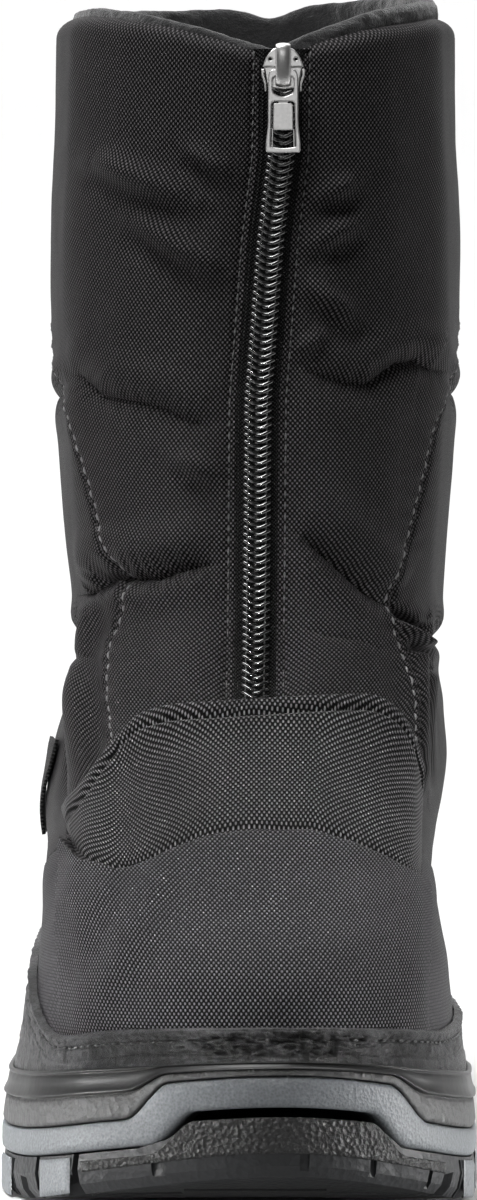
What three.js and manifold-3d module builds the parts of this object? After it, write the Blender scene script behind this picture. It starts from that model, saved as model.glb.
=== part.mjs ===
// Padded snow boot, right foot, in millimetres. Toe toward -Y, heel toward +Y, +X is the big-toe side, +Z up.
// Lengths along the foot are given as s, the distance from the back of the heel, so y = soleLength / 2 - s.
import * as THREE from 'three';
import { mergeVertices } from 'three/addons/utils/BufferGeometryUtils.js';
import Module from 'manifold-3d';

const wasm = await Module();
wasm.setup();

const soleLength = 305;
const loopPoints = 48;
const soleLoopPoints = 72;
const wall = 7;
const gap = 0.35;
const bottomGap = 0.65;
const guardFront = 2;
const rimClear = 2.55;
const rimInset = 3.9;
const pocketDepth = 7;
const insoleThick = 5.5;
const treadDepth = 5;
const slitHalf = 6.5;
const tapeHalf = 6.15;
const zipBottom = 118;
const zipTop = 288;
const hingeHeight = 280;
const hingeStandoff = 6.4;

// Sole outline: x of the outer-foot edge (lateral) and of the big-toe edge (medial) at each s.
const outline = [
  { s: 0, lateral: 4, medial: 4 },
  { s: 10, lateral: -23, medial: 31 },
  { s: 25, lateral: -33.5, medial: 41.5 },
  { s: 45, lateral: -38.5, medial: 46 },
  { s: 90, lateral: -41, medial: 44 },
  { s: 120, lateral: -44, medial: 43 },
  { s: 160, lateral: -52, medial: 49 },
  { s: 195, lateral: -58.3, medial: 56.3 },
  { s: 218, lateral: -58.8, medial: 59 },
  { s: 250, lateral: -53, medial: 57.3 },
  { s: 275, lateral: -41, medial: 50 },
  { s: 292, lateral: -23, medial: 38 },
  { s: 305, lateral: 11, medial: 11 },
];

// Body skin, one row per closed section from the feather line up to the collar.
// Each section lies in a tilted plane through its front and back points.
// heel, waist and ball are the side positions a sixth, a half and three quarters of the way forward.
// toeRound and heelRound say how full each end is: about 0.7 is an ellipse, higher is blunter.
const sections = [
  { frontS: 298.3, frontZ: 47, backS: 4, backZ: 52, heelLat: -35.5, heelMed: 42, waistLat: -45.5,
    waistMed: 44, ballLat: -50.8, ballMed: 52.8, tipX: 11, backX: 4, toeRound: 0.82, heelRound: 0.88 },
  { frontS: 294, frontZ: 56, backS: 4, backZ: 62, heelLat: -36.5, heelMed: 42.5, waistLat: -46,
    waistMed: 45, ballLat: -49.4, ballMed: 52, tipX: 10.5, backX: 4, toeRound: 0.82, heelRound: 0.87 },
  { frontS: 282.5, frontZ: 64, backS: 4.5, backZ: 71, heelLat: -37.5, heelMed: 43, waistLat: -47,
    waistMed: 46.5, ballLat: -49, ballMed: 50.5, tipX: 10, backX: 4, toeRound: 0.82, heelRound: 0.86 },
  { frontS: 261, frontZ: 71.5, backS: 5.5, backZ: 79, heelLat: -38.5, heelMed: 43.7, waistLat: -48.3,
    waistMed: 49, ballLat: -49, ballMed: 49.5, tipX: 9.3, backX: 4.2, toeRound: 0.83, heelRound: 0.85 },
  { frontS: 235, frontZ: 79, backS: 6.5, backZ: 86, heelLat: -39.3, heelMed: 44.4, waistLat: -50,
    waistMed: 51.5, ballLat: -48.8, ballMed: 48.5, tipX: 8.5, backX: 4.3, toeRound: 0.84, heelRound: 0.84 },
  { frontS: 208, frontZ: 90, backS: 8, backZ: 94, heelLat: -40, heelMed: 45.5, waistLat: -51,
    waistMed: 54.5, ballLat: -47, ballMed: 48.7, tipX: 7.5, backX: 4.4, toeRound: 0.84, heelRound: 0.83 },
  { frontS: 188, frontZ: 101.5, backS: 9, backZ: 103, heelLat: -39.8, heelMed: 46.4, waistLat: -50.4,
    waistMed: 56.7, ballLat: -44.5, ballMed: 50, tipX: 6.5, backX: 4.5, toeRound: 0.82, heelRound: 0.82 },
  { frontS: 171.5, frontZ: 116, backS: 10, backZ: 114, heelLat: -37.8, heelMed: 46.6, waistLat: -47,
    waistMed: 56, ballLat: -42, ballMed: 50.3, tipX: 5.5, backX: 4.5, toeRound: 0.79, heelRound: 0.81 },
  { frontS: 162, frontZ: 129.5, backS: 11, backZ: 128, heelLat: -34.6, heelMed: 45.3, waistLat: -43.2,
    waistMed: 54, ballLat: -38.7, ballMed: 49, tipX: 5.2, backX: 4.6, toeRound: 0.76, heelRound: 0.8 },
  { frontS: 156.5, frontZ: 146, backS: 10.5, backZ: 146, heelLat: -36.3, heelMed: 47.2, waistLat: -45.2,
    waistMed: 56.4, ballLat: -41, ballMed: 52, tipX: 5.2, backX: 4.6, toeRound: 0.74, heelRound: 0.79 },
  { frontS: 153, frontZ: 170, backS: 9.5, backZ: 172, heelLat: -39, heelMed: 48.6, waistLat: -48.6,
    waistMed: 57.8, ballLat: -44.4, ballMed: 54, tipX: 5, backX: 4.7, toeRound: 0.73, heelRound: 0.78 },
  { frontS: 150.5, frontZ: 206, backS: 9, backZ: 208, heelLat: -40.6, heelMed: 49.8, waistLat: -50.4,
    waistMed: 59.6, ballLat: -46.2, ballMed: 55.4, tipX: 4.8, backX: 4.6, toeRound: 0.73, heelRound: 0.78 },
  { frontS: 149.5, frontZ: 248, backS: 9.5, backZ: 250, heelLat: -40, heelMed: 49.4, waistLat: -49.8,
    waistMed: 59.2, ballLat: -45.6, ballMed: 55, tipX: 4.8, backX: 4.7, toeRound: 0.73, heelRound: 0.78 },
  { frontS: 149, frontZ: 300, backS: 11, backZ: 300, heelLat: -38.9, heelMed: 47.9, waistLat: -48.5,
    waistMed: 57.4, ballLat: -44.3, ballMed: 53.2, tipX: 4.8, backX: 4.5, toeRound: 0.73, heelRound: 0.78 },
];
const collar = sections.length - 1;
const collarDip = { depth: 13, halfWidth: 62, power: 1.6, centreX: 9 };

// Top edge of the suede mudguard: a low band round the toe that sweeps up at the ball and again at the heel.
const guardTop = [
  { s: -5, lateral: 88, medial: 88 }, { s: 20, lateral: 87, medial: 87 }, { s: 50, lateral: 81, medial: 81 },
  { s: 85, lateral: 69, medial: 69 }, { s: 120, lateral: 62, medial: 61 }, { s: 150, lateral: 62, medial: 57 },
  { s: 180, lateral: 62, medial: 50 }, { s: 205, lateral: 60, medial: 46.5 }, { s: 225, lateral: 56, medial: 44.5 },
  { s: 245, lateral: 48, medial: 43.5 }, { s: 262, lateral: 42.5, medial: 43.5 },
  { s: 285, lateral: 46, medial: 46 }, { s: 306, lateral: 48.5, medial: 48.5 },
];

// Instep pad: its piped upper edge and its lower edge, from the outer-foot end to the big-toe end.
const padEdges = [
  { topX: -45.5, topZ: 91, lowX: -44.7, lowZ: 87 },
  { topX: -38.7, topZ: 97.5, lowX: -39, lowZ: 82.2 },
  { topX: -31, topZ: 105.5, lowX: -31, lowZ: 80 },
  { topX: -22.7, topZ: 113.4, lowX: -22.5, lowZ: 82.6 },
  { topX: -14, topZ: 115.8, lowX: -14, lowZ: 86.1 },
  { topX: -5, topZ: 116.5, lowX: -6, lowZ: 88.4 },
  { topX: 5, topZ: 117.2, lowX: 5, lowZ: 89.5 },
  { topX: 18, topZ: 118, lowX: 17, lowZ: 89.5 },
  { topX: 30, topZ: 118.3, lowX: 28, lowZ: 86.5 },
  { topX: 38, topZ: 115.4, lowX: 36, lowZ: 83.1 },
  { topX: 44, topZ: 107.5, lowX: 42, lowZ: 79.7 },
  { topX: 47.5, topZ: 98, lowX: 45.6, lowZ: 77.8 },
];

// Grooves in the outsole's edge: place along the sole, side (1 is the big-toe side), width, depth and height.
const edgeGrooves = [
  { s: 240, side: -1, width: 1.4, deep: 2.4, tall: 9.5 }, { s: 260.5, side: -1, width: 2, deep: 3, tall: 10.5 },
  { s: 277, side: -1, width: 2.4, deep: 3, tall: 10.5 }, { s: 294.5, side: -1, width: 3.6, deep: 1.4, tall: 5.5 },
  { s: 304.6, side: 1, width: 2.2, deep: 1.8, tall: 4.6 }, { s: 297, side: 1, width: 1.8, deep: 1.8, tall: 5.5 },
  { s: 281.5, side: 1, width: 1.6, deep: 2.2, tall: 6.5 }, { s: 264.5, side: 1, width: 1.6, deep: 3, tall: 9 },
  { s: 246, side: 1, width: 1.8, deep: 3, tall: 9.5 }, { s: 226, side: 1, width: 1.8, deep: 3, tall: 8 },
  { s: 220, side: -1, width: 1.8, deep: 3, tall: 8 }, { s: 200, side: -1, width: 1.8, deep: 3, tall: 8 },
  { s: 206, side: 1, width: 1.8, deep: 3, tall: 8 }, { s: 184, side: -1, width: 1.8, deep: 3, tall: 8 },
  { s: 188, side: 1, width: 1.8, deep: 3, tall: 8 }, { s: 82, side: -1, width: 1.8, deep: 3, tall: 8 },
  { s: 82, side: 1, width: 1.8, deep: 3, tall: 8 }, { s: 62, side: -1, width: 1.8, deep: 3, tall: 8 },
  { s: 62, side: 1, width: 1.8, deep: 3, tall: 8 }, { s: 42, side: -1, width: 1.8, deep: 3, tall: 8 },
  { s: 42, side: 1, width: 1.8, deep: 3, tall: 8 }, { s: 22, side: -1, width: 1.8, deep: 3, tall: 8 },
  { s: 22, side: 1, width: 1.8, deep: 3, tall: 8 },
];

// Line of the front zip, which leans toward the big-toe side near the collar.
const zipLine = [
  { z: 100, x: 4.1 }, { z: 118, x: 4.1 }, { z: 150, x: 4.6 }, { z: 196, x: 5 }, { z: 216, x: 6.6 },
  { z: 237, x: 8.2 }, { z: 259, x: 11 }, { z: 288, x: 11.5 }, { z: 320, x: 11.5 },
];

const colours = {
  rubber: 0x2c2e31, grey: 0x8a9094, nylon: 0x303134, lining: 0x3c3d42, suede: 0x3a3b3f,
  pad: 0x37383b, tape: 0x1c1c1f, metal: 0xb9bcc0,
};

const clamp = (value, low, high) => Math.min(high, Math.max(low, value));
const mix = (a, b, t) => a + (b - a) * t;
const smooth = (value, from, to) => {
  const t = clamp((value - from) / (to - from), 0, 1);
  return t * t * (3 - 2 * t);
};

// Monotone cubic through (xs, ys): it never overshoots a row of a table.
function curve(xs, ys, x) {
  const last = xs.length - 1;
  const at = clamp(x, xs[0], xs[last]);
  let k = 0;
  while (k < last - 1 && at > xs[k + 1]) {
    k += 1;
  }
  const slope = (i) => (ys[i + 1] - ys[i]) / (xs[i + 1] - xs[i]);
  const tangent = (i) => {
    if (i === 0) {
      return slope(0);
    }
    if (i === last) {
      return slope(last - 1);
    }
    const before = slope(i - 1);
    const after = slope(i);
    if (before * after <= 0) {
      return 0;
    }
    return (2 * before * after) / (before + after);
  };
  const width = xs[k + 1] - xs[k];
  const t = (at - xs[k]) / width;
  const rise = (2 * t * t * t - 3 * t * t + 1) * ys[k] + (3 * t * t - 2 * t * t * t) * ys[k + 1];
  return rise + width * ((t * t * t - 2 * t * t + t) * tangent(k) + (t * t * t - t * t) * tangent(k + 1));
}

function lookUp(table, key, column, value) {
  return curve(table.map((row) => row[key]), table.map((row) => row[column]), value);
}

// Heights along the sole.
const toeShare = (s) => Math.max(0, (s - 225) / 80);
const rocker = (s) => (s > 20 ? 14 * toeShare(s) ** 2 : 4 * ((20 - s) / 20) ** 2);
const arch = (s) => 4 * smooth(s, 92, 112) * (1 - smooth(s, 140, 162));
const soleBottom = (s) => rocker(s) + arch(s);
const heelLift = (s) => 8 * (1 - smooth(s, 60, 140));
// The grey band steps up in a raised panel across the toe. Each of its edges has a ramp at both ends, in x.
const toeRamps = { lower: [-21.5, -10.5, 31.5, 40.5], upper: [-27.5, -17, 36.5, 46] };
const toeRaise = (s, x, [from, full, end, gone]) => (
  smooth(x, from, full) * (1 - smooth(x, end, gone)) * smooth(s, 268, 274));
const frontRocker = (s) => (s > 20 ? rocker(s) : 0);
const bandLow = (s) => 10.7 + 0.85 * frontRocker(s) + 0.4 * heelLift(s);
const greyBottom = (s, x) => bandLow(s) + 7 * toeRaise(s, x, toeRamps.lower);
const greyTop = (s, x) => bandLow(s) + 6.6 + 7.7 * toeRaise(s, x, toeRamps.upper);
const cupTop = (s) => 31 + 9.3 * toeShare(s) ** 1.6 + heelLift(s);
const pocketFloor = (s) => cupTop(s) - pocketDepth + 5.2 * smooth(s, 270, 298);

// Position around a loop: 0 at the back of the heel, a half at the toe, first along the big-toe side.
function station(u) {
  const turn = ((u % 1) + 1) % 1;
  const medial = turn <= 0.5;
  return { medial, angle: Math.PI * (medial ? 2 * turn : 2 - 2 * turn) };
}

const outlineAngles = outline.map((row) => Math.acos(1 - (2 * row.s) / soleLength));

function soleEdge(u) {
  const { medial, angle } = station(u);
  const column = medial ? 'medial' : 'lateral';
  return { x: curve(outlineAngles, outline.map((row) => row[column]), angle),
    s: (soleLength * (1 - Math.cos(angle))) / 2 };
}

// The sole outline moved inward by a distance.
function soleLoop(u, inset) {
  const step = 0.004;
  const here = soleEdge(u);
  const before = soleEdge(u - step);
  const after = soleEdge(u + step);
  const dx = after.x - before.x;
  const ds = after.s - before.s;
  const size = Math.hypot(dx, ds);
  return { x: here.x - (inset * ds) / size, s: here.s + (inset * dx) / size };
}

const sideTaper = (u) => {
  const { medial, angle } = station(u);
  return medial ? 1.3 : 1.3 + 0.6 * Math.sin(angle) ** 0.7;
};

const keyAngles = [0, 20, 33, 50, 87, 118, 143, 158, 180].map((degrees) => (degrees * Math.PI) / 180);

function sectionPoint(u, level) {
  const { medial, angle } = station(u);
  const rows = sections.map((row, i) => i);
  const value = (name) => curve(rows, sections.map((row) => row[name]), level);
  const side = medial ? 'Med' : 'Lat';
  const frontS = value('frontS');
  const backS = value('backS');
  const share = (1 - Math.cos(angle)) / 2;
  const heel = value(`heel${side}`);
  const ball = value(`ball${side}`);
  const back = value('backX');
  const tip = value('tipX');
  const widths = [back, mix(back, heel, value('heelRound') * 0.71), mix(back, heel, value('heelRound')), heel,
    value(`waist${side}`), ball, mix(tip, ball, value('toeRound')), mix(tip, ball, value('toeRound') * 0.66), tip];
  const x = curve(keyAngles, widths, angle);
  let z = mix(value('backZ'), value('frontZ'), share);
  const forward = smooth(share, 0.6, 0.85);
  const away = clamp(Math.abs(x - collarDip.centreX) / collarDip.halfWidth, 0, 1);
  z -= collarDip.depth * (1 - away) ** collarDip.power * forward * smooth(level, collar - 1, collar);
  return { x, s: mix(backS, frontS, share), z };
}

// Body skin. Level -2 is the bottom edge in the sole, -1 is just above its rim, 0 and up follow the sections.
function skinPoint(u, level) {
  if (level >= 0) {
    return sectionPoint(u, level);
  }
  const edge = soleLoop(u, sideTaper(u) + rimInset);
  const height = mix(pocketFloor(edge.s) + bottomGap, cupTop(edge.s) + 1, clamp(level + 2, 0, 1));
  const low = { x: edge.x, s: edge.s, z: height };
  if (level <= -1) {
    return low;
  }
  const above = sectionPoint(u, 0);
  const t = level + 1;
  return { x: mix(low.x, above.x, t), s: mix(low.s, above.s, t), z: mix(low.z, above.z, t) };
}

const place = (point) => new THREE.Vector3(point.x, soleLength / 2 - point.s, point.z);

// A point of the body skin moved outward by a distance along the skin's own normal.
function skin(u, level, outward) {
  const at = place(skinPoint(u, level));
  const low = clamp(level - 0.25, -2, collar);
  const high = clamp(level + 0.25, -2, collar);
  const along = place(skinPoint(u + 0.01, level)).sub(place(skinPoint(u - 0.01, level)));
  const up = place(skinPoint(u, high)).sub(place(skinPoint(u, low)));
  const normal = along.cross(up).normalize();
  if (normal.x * (at.x - 4) + normal.y * (at.y - 30) * 0.3 + normal.z * (at.z - 60) * 0.02 < 0) {
    normal.negate();
  }
  return at.addScaledVector(normal, outward);
}

// The level at which the skin reaches a height.
function levelAt(u, height) {
  let low = -2;
  let high = collar;
  for (let i = 0; i < 26; i += 1) {
    const middle = (low + high) / 2;
    if (skinPoint(u, middle).z < height) {
      low = middle;
    } else {
      high = middle;
    }
  }
  return (low + high) / 2;
}

// A point on the front of the skin at a given x and height.
function frontSkin(x, z, outward) {
  let low = 0.25;
  let high = 0.75;
  let level = 5;
  for (let i = 0; i < 24; i += 1) {
    const middle = (low + high) / 2;
    level = levelAt(middle, z);
    if (skinPoint(middle, level).x > x) {
      low = middle;
    } else {
      high = middle;
    }
  }
  return skin((low + high) / 2, level, outward);
}

const around = Array.from({ length: loopPoints }, (entry, i) => i / loopPoints);
const aroundSole = Array.from({ length: soleLoopPoints }, (entry, i) => i / soleLoopPoints);

// A mesh from points and triangles, turned so that it faces outward.
function solidFrom(points, triangles) {
  let volume = 0;
  for (const [a, b, c] of triangles) {
    volume += points[a].dot(points[b].clone().cross(points[c]));
  }
  const faces = volume < 0 ? triangles.map(([a, b, c]) => [a, c, b]) : triangles;
  const geometry = new THREE.BufferGeometry();
  geometry.setAttribute('position', new THREE.Float32BufferAttribute(points.flatMap((p) => [p.x, p.y, p.z]), 3));
  geometry.setIndex(faces.flat());
  return geometry;
}

// Loops stacked into a solid. Ring-like solids close back on their first loop, others get two flat ends.
function stack(loops, ringLike) {
  const count = loops[0].length;
  const triangles = [];
  const rows = ringLike ? loops.length : loops.length - 1;
  for (let r = 0; r < rows; r += 1) {
    const next = (r + 1) % loops.length;
    for (let i = 0; i < count; i += 1) {
      const j = (i + 1) % count;
      triangles.push([r * count + i, r * count + j, next * count + j]);
      triangles.push([r * count + i, next * count + j, next * count + i]);
    }
  }
  if (!ringLike) {
    const half = count / 2;
    const base = (loops.length - 1) * count;
    for (let i = 0; i < half; i += 1) {
      const a = (count - i) % count;
      const b = (count - i - 1) % count;
      triangles.push([i, b, i + 1]);
      triangles.push([base + i, base + i + 1, base + b]);
      if (i > 0) {
        triangles.push([i, a, b]);
        triangles.push([base + i, base + b, base + a]);
      }
    }
  }
  const clean = triangles.filter(([a, b, c]) => a !== b && b !== c && a !== c);
  return solidFrom(loops.flat(), clean);
}

// A patch with thickness: rows of points on its face and the same rows on its back.
function patch(face, back) {
  const rows = face.length;
  const columns = face[0].length;
  const index = (side, r, c) => side * rows * columns + r * columns + c;
  const triangles = [];
  for (let r = 0; r < rows - 1; r += 1) {
    for (let c = 0; c < columns - 1; c += 1) {
      triangles.push([index(0, r, c), index(0, r, c + 1), index(0, r + 1, c + 1)]);
      triangles.push([index(0, r, c), index(0, r + 1, c + 1), index(0, r + 1, c)]);
      triangles.push([index(1, r, c), index(1, r + 1, c + 1), index(1, r, c + 1)]);
      triangles.push([index(1, r, c), index(1, r + 1, c), index(1, r + 1, c + 1)]);
    }
  }
  const rim = [];
  for (let c = 0; c < columns - 1; c += 1) {
    rim.push([0, c]);
  }
  for (let r = 0; r < rows - 1; r += 1) {
    rim.push([r, columns - 1]);
  }
  for (let c = columns - 1; c > 0; c -= 1) {
    rim.push([rows - 1, c]);
  }
  for (let r = rows - 1; r > 0; r -= 1) {
    rim.push([r, 0]);
  }
  rim.forEach(([r, c], i) => {
    const [r2, c2] = rim[(i + 1) % rim.length];
    triangles.push([index(0, r, c), index(1, r2, c2), index(0, r2, c2)]);
    triangles.push([index(0, r, c), index(1, r, c), index(1, r2, c2)]);
  });
  return solidFrom([...face.flat(), ...back.flat()], triangles);
}

function toManifold(geometry) {
  const bare = geometry.clone();
  bare.deleteAttribute('normal');
  bare.deleteAttribute('uv');
  const merged = mergeVertices(bare, 1e-4);
  return new wasm.Manifold(new wasm.Mesh({ numProp: 3,
    vertProperties: new Float32Array(merged.attributes.position.array),
    triVerts: new Uint32Array(merged.index.array) }));
}

function fromManifold(solid) {
  const mesh = solid.getMesh();
  const geometry = new THREE.BufferGeometry();
  geometry.setAttribute('position', new THREE.Float32BufferAttribute(mesh.vertProperties, 3));
  geometry.setIndex([...mesh.triVerts]);
  return geometry;
}

function box(sizeX, sizeY, sizeZ, x, y, z, turn = 0) {
  const geometry = new THREE.BoxGeometry(sizeX, sizeY, sizeZ);
  geometry.rotateZ(turn);
  geometry.translate(x, y, z);
  return toManifold(geometry);
}

const heightLoop = (inset, height) => aroundSole.map((u) => {
  const edge = soleLoop(u, typeof inset === 'function' ? inset(u) : inset);
  return place({ x: edge.x, s: edge.s, z: height(edge.s, soleEdge(u).x) });
});

// Outsole with its tread: cross channels, edge notches, a groove down the middle, and slots in the toe bumper.
function makeOutsole() {
  const top = (s, x) => greyBottom(s, x) - gap - 1.9 * toeRaise(s, x, toeRamps.lower);
  const body = toManifold(stack([
    heightLoop(2.6, soleBottom),
    heightLoop(1, (s) => soleBottom(s) + 2.2),
    heightLoop(0.2, (s, x) => mix(soleBottom(s), top(s, x), 0.6)),
    heightLoop(0.8, top),
  ], false));
  const cuts = [];
  const tread = { width: 4.6, pitch: 20.5, first: 28, last: 292, middle: 4, ribHalf: 17 };
  const cross = (length, x, s, turn, width = tread.width) => {
    cuts.push(box(length, width, 20, x, soleLength / 2 - s, soleBottom(s) + treadDepth - 10, turn));
  };
  for (let s = tread.first; s <= tread.last; s += tread.pitch) {
    const turn = s > 130 ? 0.2 : -0.2;
    cross(46, tread.middle + tread.ribHalf + 23, s, turn);
    cross(46, tread.middle - tread.ribHalf - 23, s, -turn);
    cross(tread.ribHalf * 2, tread.middle, s + tread.pitch / 2, 0, 3.6);
  }
  for (const [from, to] of [[20, 92], [162, 250]]) {
    for (const side of [-1, 1]) {
      const x = tread.middle + side * tread.ribHalf;
      cuts.push(box(tread.width, to - from, 20, x, soleLength / 2 - (from + to) / 2, treadDepth - 10));
    }
  }
  for (const { s, side, width, deep, tall } of edgeGrooves) {
    const u = (Math.acos(1 - (2 * s) / soleLength) / Math.PI / 2) * side;
    const edge = soleLoop(u, 0);
    const inner = soleLoop(u, 1);
    const turn = Math.atan2(edge.s - inner.s, inner.x - edge.x);
    cuts.push(box(deep * 2, width, tall * 2, edge.x, soleLength / 2 - s, soleBottom(s), turn));
  }
  return fromManifold(body.subtract(wasm.Manifold.union(cuts)));
}

function makeBand() {
  return stack([
    heightLoop(0.8, greyBottom),
    heightLoop(0, (s, x) => greyBottom(s, x) + 0.9),
    heightLoop(0.1, (s, x) => greyTop(s, x) - 0.9),
    heightLoop(0.8, greyTop),
  ], false);
}

// Rubber cup: a tray whose rim closes round the mudguard and the bottom of the upper.
function makeCup() {
  const taper = (share) => (u) => sideTaper(u) * share;
  const between = (share) => (s, x) => mix(greyTop(s, x) + gap, cupTop(s), share);
  const pocket = (level, height) => aroundSole.map((u) => {
    const point = skin(u, level, rimClear);
    point.z = height(soleLength / 2 - point.y);
    return point;
  });
  return stack([
    heightLoop(0.8, between(0)),
    heightLoop(taper(0.25), between(0.12)),
    heightLoop(taper(0.45), between(0.47)),
    heightLoop((u) => sideTaper(u) * 0.5 + 0.7, between(0.52)),
    heightLoop(taper(0.6), between(0.57)),
    heightLoop(taper(0.95), between(0.93)),
    heightLoop((u) => sideTaper(u) + 0.5, between(1)),
    pocket(-1.05, (s) => cupTop(s) - 0.2),
    pocket(-1.3, (s) => mix(pocketFloor(s), cupTop(s), 0.7)),
    pocket(-2, pocketFloor),
  ], false);
}

const levels = [-2, -1, -0.5, 0, 0.5, 1, 1.5, 2, 3, 4, 5, 6, 7, 8, 9, 10, 11, 12, collar];

// The filled form of the skin, grown by the gap, that trims whatever lies on it.
const skinForm = toManifold(stack(levels.map((level) => around.map((u) => skin(u, level, gap))), false));

// The slot that the zip fills, as a block through the front wall.
function zipSlot(half, bottom) {
  const shape = new THREE.Shape();
  const heights = [bottom, 150, 196, 216, 237, 259, 288, 312];
  const leftSide = heights.map((z) => [lookUp(zipLine, 'z', 'x', z) - half, z]);
  const rightSide = heights.map((z) => [lookUp(zipLine, 'z', 'x', z) + half, z]).reverse();
  [...leftSide, ...rightSide].forEach(([x, z], i) => {
    if (i === 0) {
      shape.moveTo(x, z);
    } else {
      shape.lineTo(x, z);
    }
  });
  shape.closePath();
  const cut = new THREE.ExtrudeGeometry(shape, { depth: 80, bevelEnabled: false });
  cut.rotateX(Math.PI / 2);
  cut.translate(0, soleLength / 2 - 120, 0);
  return toManifold(cut);
}

function makeUpper() {
  const outer = levels.map((level) => around.map((u) => skin(u, level, 0)));
  const inner = levels.map((level) => around.map((u) => {
    const point = skin(u, level, -wall);
    if (level === -2) {
      point.z = pocketFloor(soleLength / 2 - point.y) + bottomGap;
    }
    return point;
  }));
  const crown = around.map((u) => {
    const point = skin(u, collar, -wall / 2);
    point.z += 3;
    return point;
  });
  const body = toManifold(stack([...outer, crown, ...inner.reverse()], true));
  return fromManifold(body.subtract(zipSlot(slitHalf, zipBottom)));
}

function makeInsole() {
  const loop = (share) => around.map((u) => {
    const point = skin(u, -2 + share * 0.6, -wall - gap - 0.3);
    const s = soleLength / 2 - point.y;
    const thick = insoleThick * (1 - 0.55 * smooth(s, 255, 292));
    point.z = pocketFloor(s) + bottomGap + share * thick;
    return point;
  });
  return stack([loop(0), loop(1)], false);
}

function makeMudguard() {
  const tops = around.map((u) => {
    const side = station(u).medial ? 'medial' : 'lateral';
    return levelAt(u, lookUp(guardTop, 's', side, skinPoint(u, -1).s));
  });
  const row = (share, outward) => around.map((u, i) => {
    const level = share < 0 ? -1 + share : mix(-1, tops[i], share);
    return skin(u, level, outward);
  });
  const shares = [-0.3, 0, 0.3, 0.6, 0.95];
  const front = shares.map((share) => row(share, guardFront));
  const back = shares.map((share) => row(share, -1.5)).reverse();
  const band = stack([...front, row(1, guardFront - 0.5), row(1, -1.5), ...back], true);
  return fromManifold(toManifold(band).subtract(skinForm));
}

// Instep pad: cut between the skin and a second, puffed form of the same skin.
function makePad() {
  const rows = [0, 0.06, 0.2, 0.4, 0.6, 0.8, 0.94, 1];
  const fill = [1.2, 2.6, 4.4, 5.6, 6, 5.8, 4.6, 2.6];
  const ends = padEdges.length - 1;
  const at = (share, c, outward) => {
    const edge = padEdges[c];
    const x = mix(edge.lowX, edge.topX, share);
    const z = mix(edge.lowZ, edge.topZ, share);
    return frontSkin(x, z, outward);
  };
  const face = rows.map((share, r) => padEdges.map((edge, c) => {
    const swell = clamp(Math.min(c, ends - c) / 2, 0.25, 1);
    return at(share, c, gap + fill[r] * Math.sqrt(swell));
  }));
  const back = rows.map((share) => padEdges.map((edge, c) => at(share, c, -1.5)));
  return fromManifold(toManifold(patch(face, back)).subtract(skinForm));
}

// Zip tape with the flap behind it and the closed coil down its middle.
function makeTape() {
  const columns = [
    { x: -tapeHalf, out: -0.7 }, { x: -3.9, out: -0.7 }, { x: -3.5, out: 0.7 }, { x: 0, out: 1.1 },
    { x: 3.5, out: 0.7 }, { x: 3.9, out: -0.7 }, { x: tapeHalf, out: -0.7 },
  ];
  const heights = [];
  for (let z = zipBottom - 4; z < zipTop - 3; z += 12) {
    heights.push(z);
  }
  heights.push(zipTop - 3);
  const at = (z, x, out) => frontSkin(lookUp(zipLine, 'z', 'x', z) + x, z, out);
  const face = heights.map((z) => columns.map((column) => at(z, column.x, column.out)));
  const back = heights.map((z) => columns.map((column) => at(z, column.x, -5.2)));
  return fromManifold(toManifold(patch(face, back)).intersect(zipSlot(tapeHalf, zipBottom + gap)));
}

const zipX = lookUp(zipLine, 'z', 'x', hingeHeight);
const frontY = frontSkin(zipX, hingeHeight, 0).y;
const hingeY = frontY - hingeStandoff;

function plate(shape, depth, y) {
  const geometry = new THREE.ExtrudeGeometry(shape, { depth, bevelEnabled: false, curveSegments: 6 });
  geometry.rotateX(Math.PI / 2);
  geometry.translate(0, y, 0);
  return toManifold(geometry);
}

function rounded(x, z, width, height, radius) {
  const shape = new THREE.Shape();
  const left = x - width / 2;
  const right = x + width / 2;
  const low = z - height / 2;
  const high = z + height / 2;
  shape.moveTo(left + radius, low);
  shape.lineTo(right - radius, low);
  shape.quadraticCurveTo(right, low, right, low + radius);
  shape.lineTo(right, high - radius);
  shape.quadraticCurveTo(right, high, right - radius, high);
  shape.lineTo(left + radius, high);
  shape.quadraticCurveTo(left, high, left, high - radius);
  shape.lineTo(left, low + radius);
  shape.quadraticCurveTo(left, low, left + radius, low);
  return shape;
}

// Slider body with the bridge that holds the pull tab.
function makeSlider() {
  const body = plate(rounded(zipX, 281.6, 10.6, 12.8, 3.5), 3.4, hingeY + 4.8);
  const bridge = plate(rounded(zipX, 282, 3.9, 11.6, 1.2), 4.2, hingeY + 1.6);
  const window = box(8, 2.7, 8.2, zipX, hingeY, 282.1);
  return fromManifold(body.add(bridge).subtract(window));
}

// Pull tab: ears at the hinge, a slot that clears the bridge, a narrow neck and a hole near the free end.
function makePull() {
  const shape = new THREE.Shape();
  const side = [[5.6, 281], [5.6, 277.4], [4.4, 275.6], [3.75, 273.5], [4, 269], [4.6, 263], [4.6, 261.2], [3.4, 260]];
  shape.moveTo(zipX + side[0][0], side[0][1]);
  side.slice(1).forEach(([x, z]) => shape.lineTo(zipX + x, z));
  [...side].reverse().forEach(([x, z]) => shape.lineTo(zipX - x, z));
  shape.closePath();
  shape.holes.push(rounded(zipX, 276.55, 5.3, 5.1, 1.2));
  shape.holes.push(rounded(zipX, 263.6, 5.2, 3.8, 0.9));
  return fromManifold(plate(shape, 1.6, hingeY + 0.8));
}

const group = new THREE.Group();
group.name = 'snow_boot';

function add(name, geometry, colour, metalness = 0) {
  const mesh = new THREE.Mesh(geometry, new THREE.MeshStandardMaterial({ color: colour, roughness: 0.8, metalness }));
  mesh.name = name;
  group.add(mesh);
}

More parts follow.
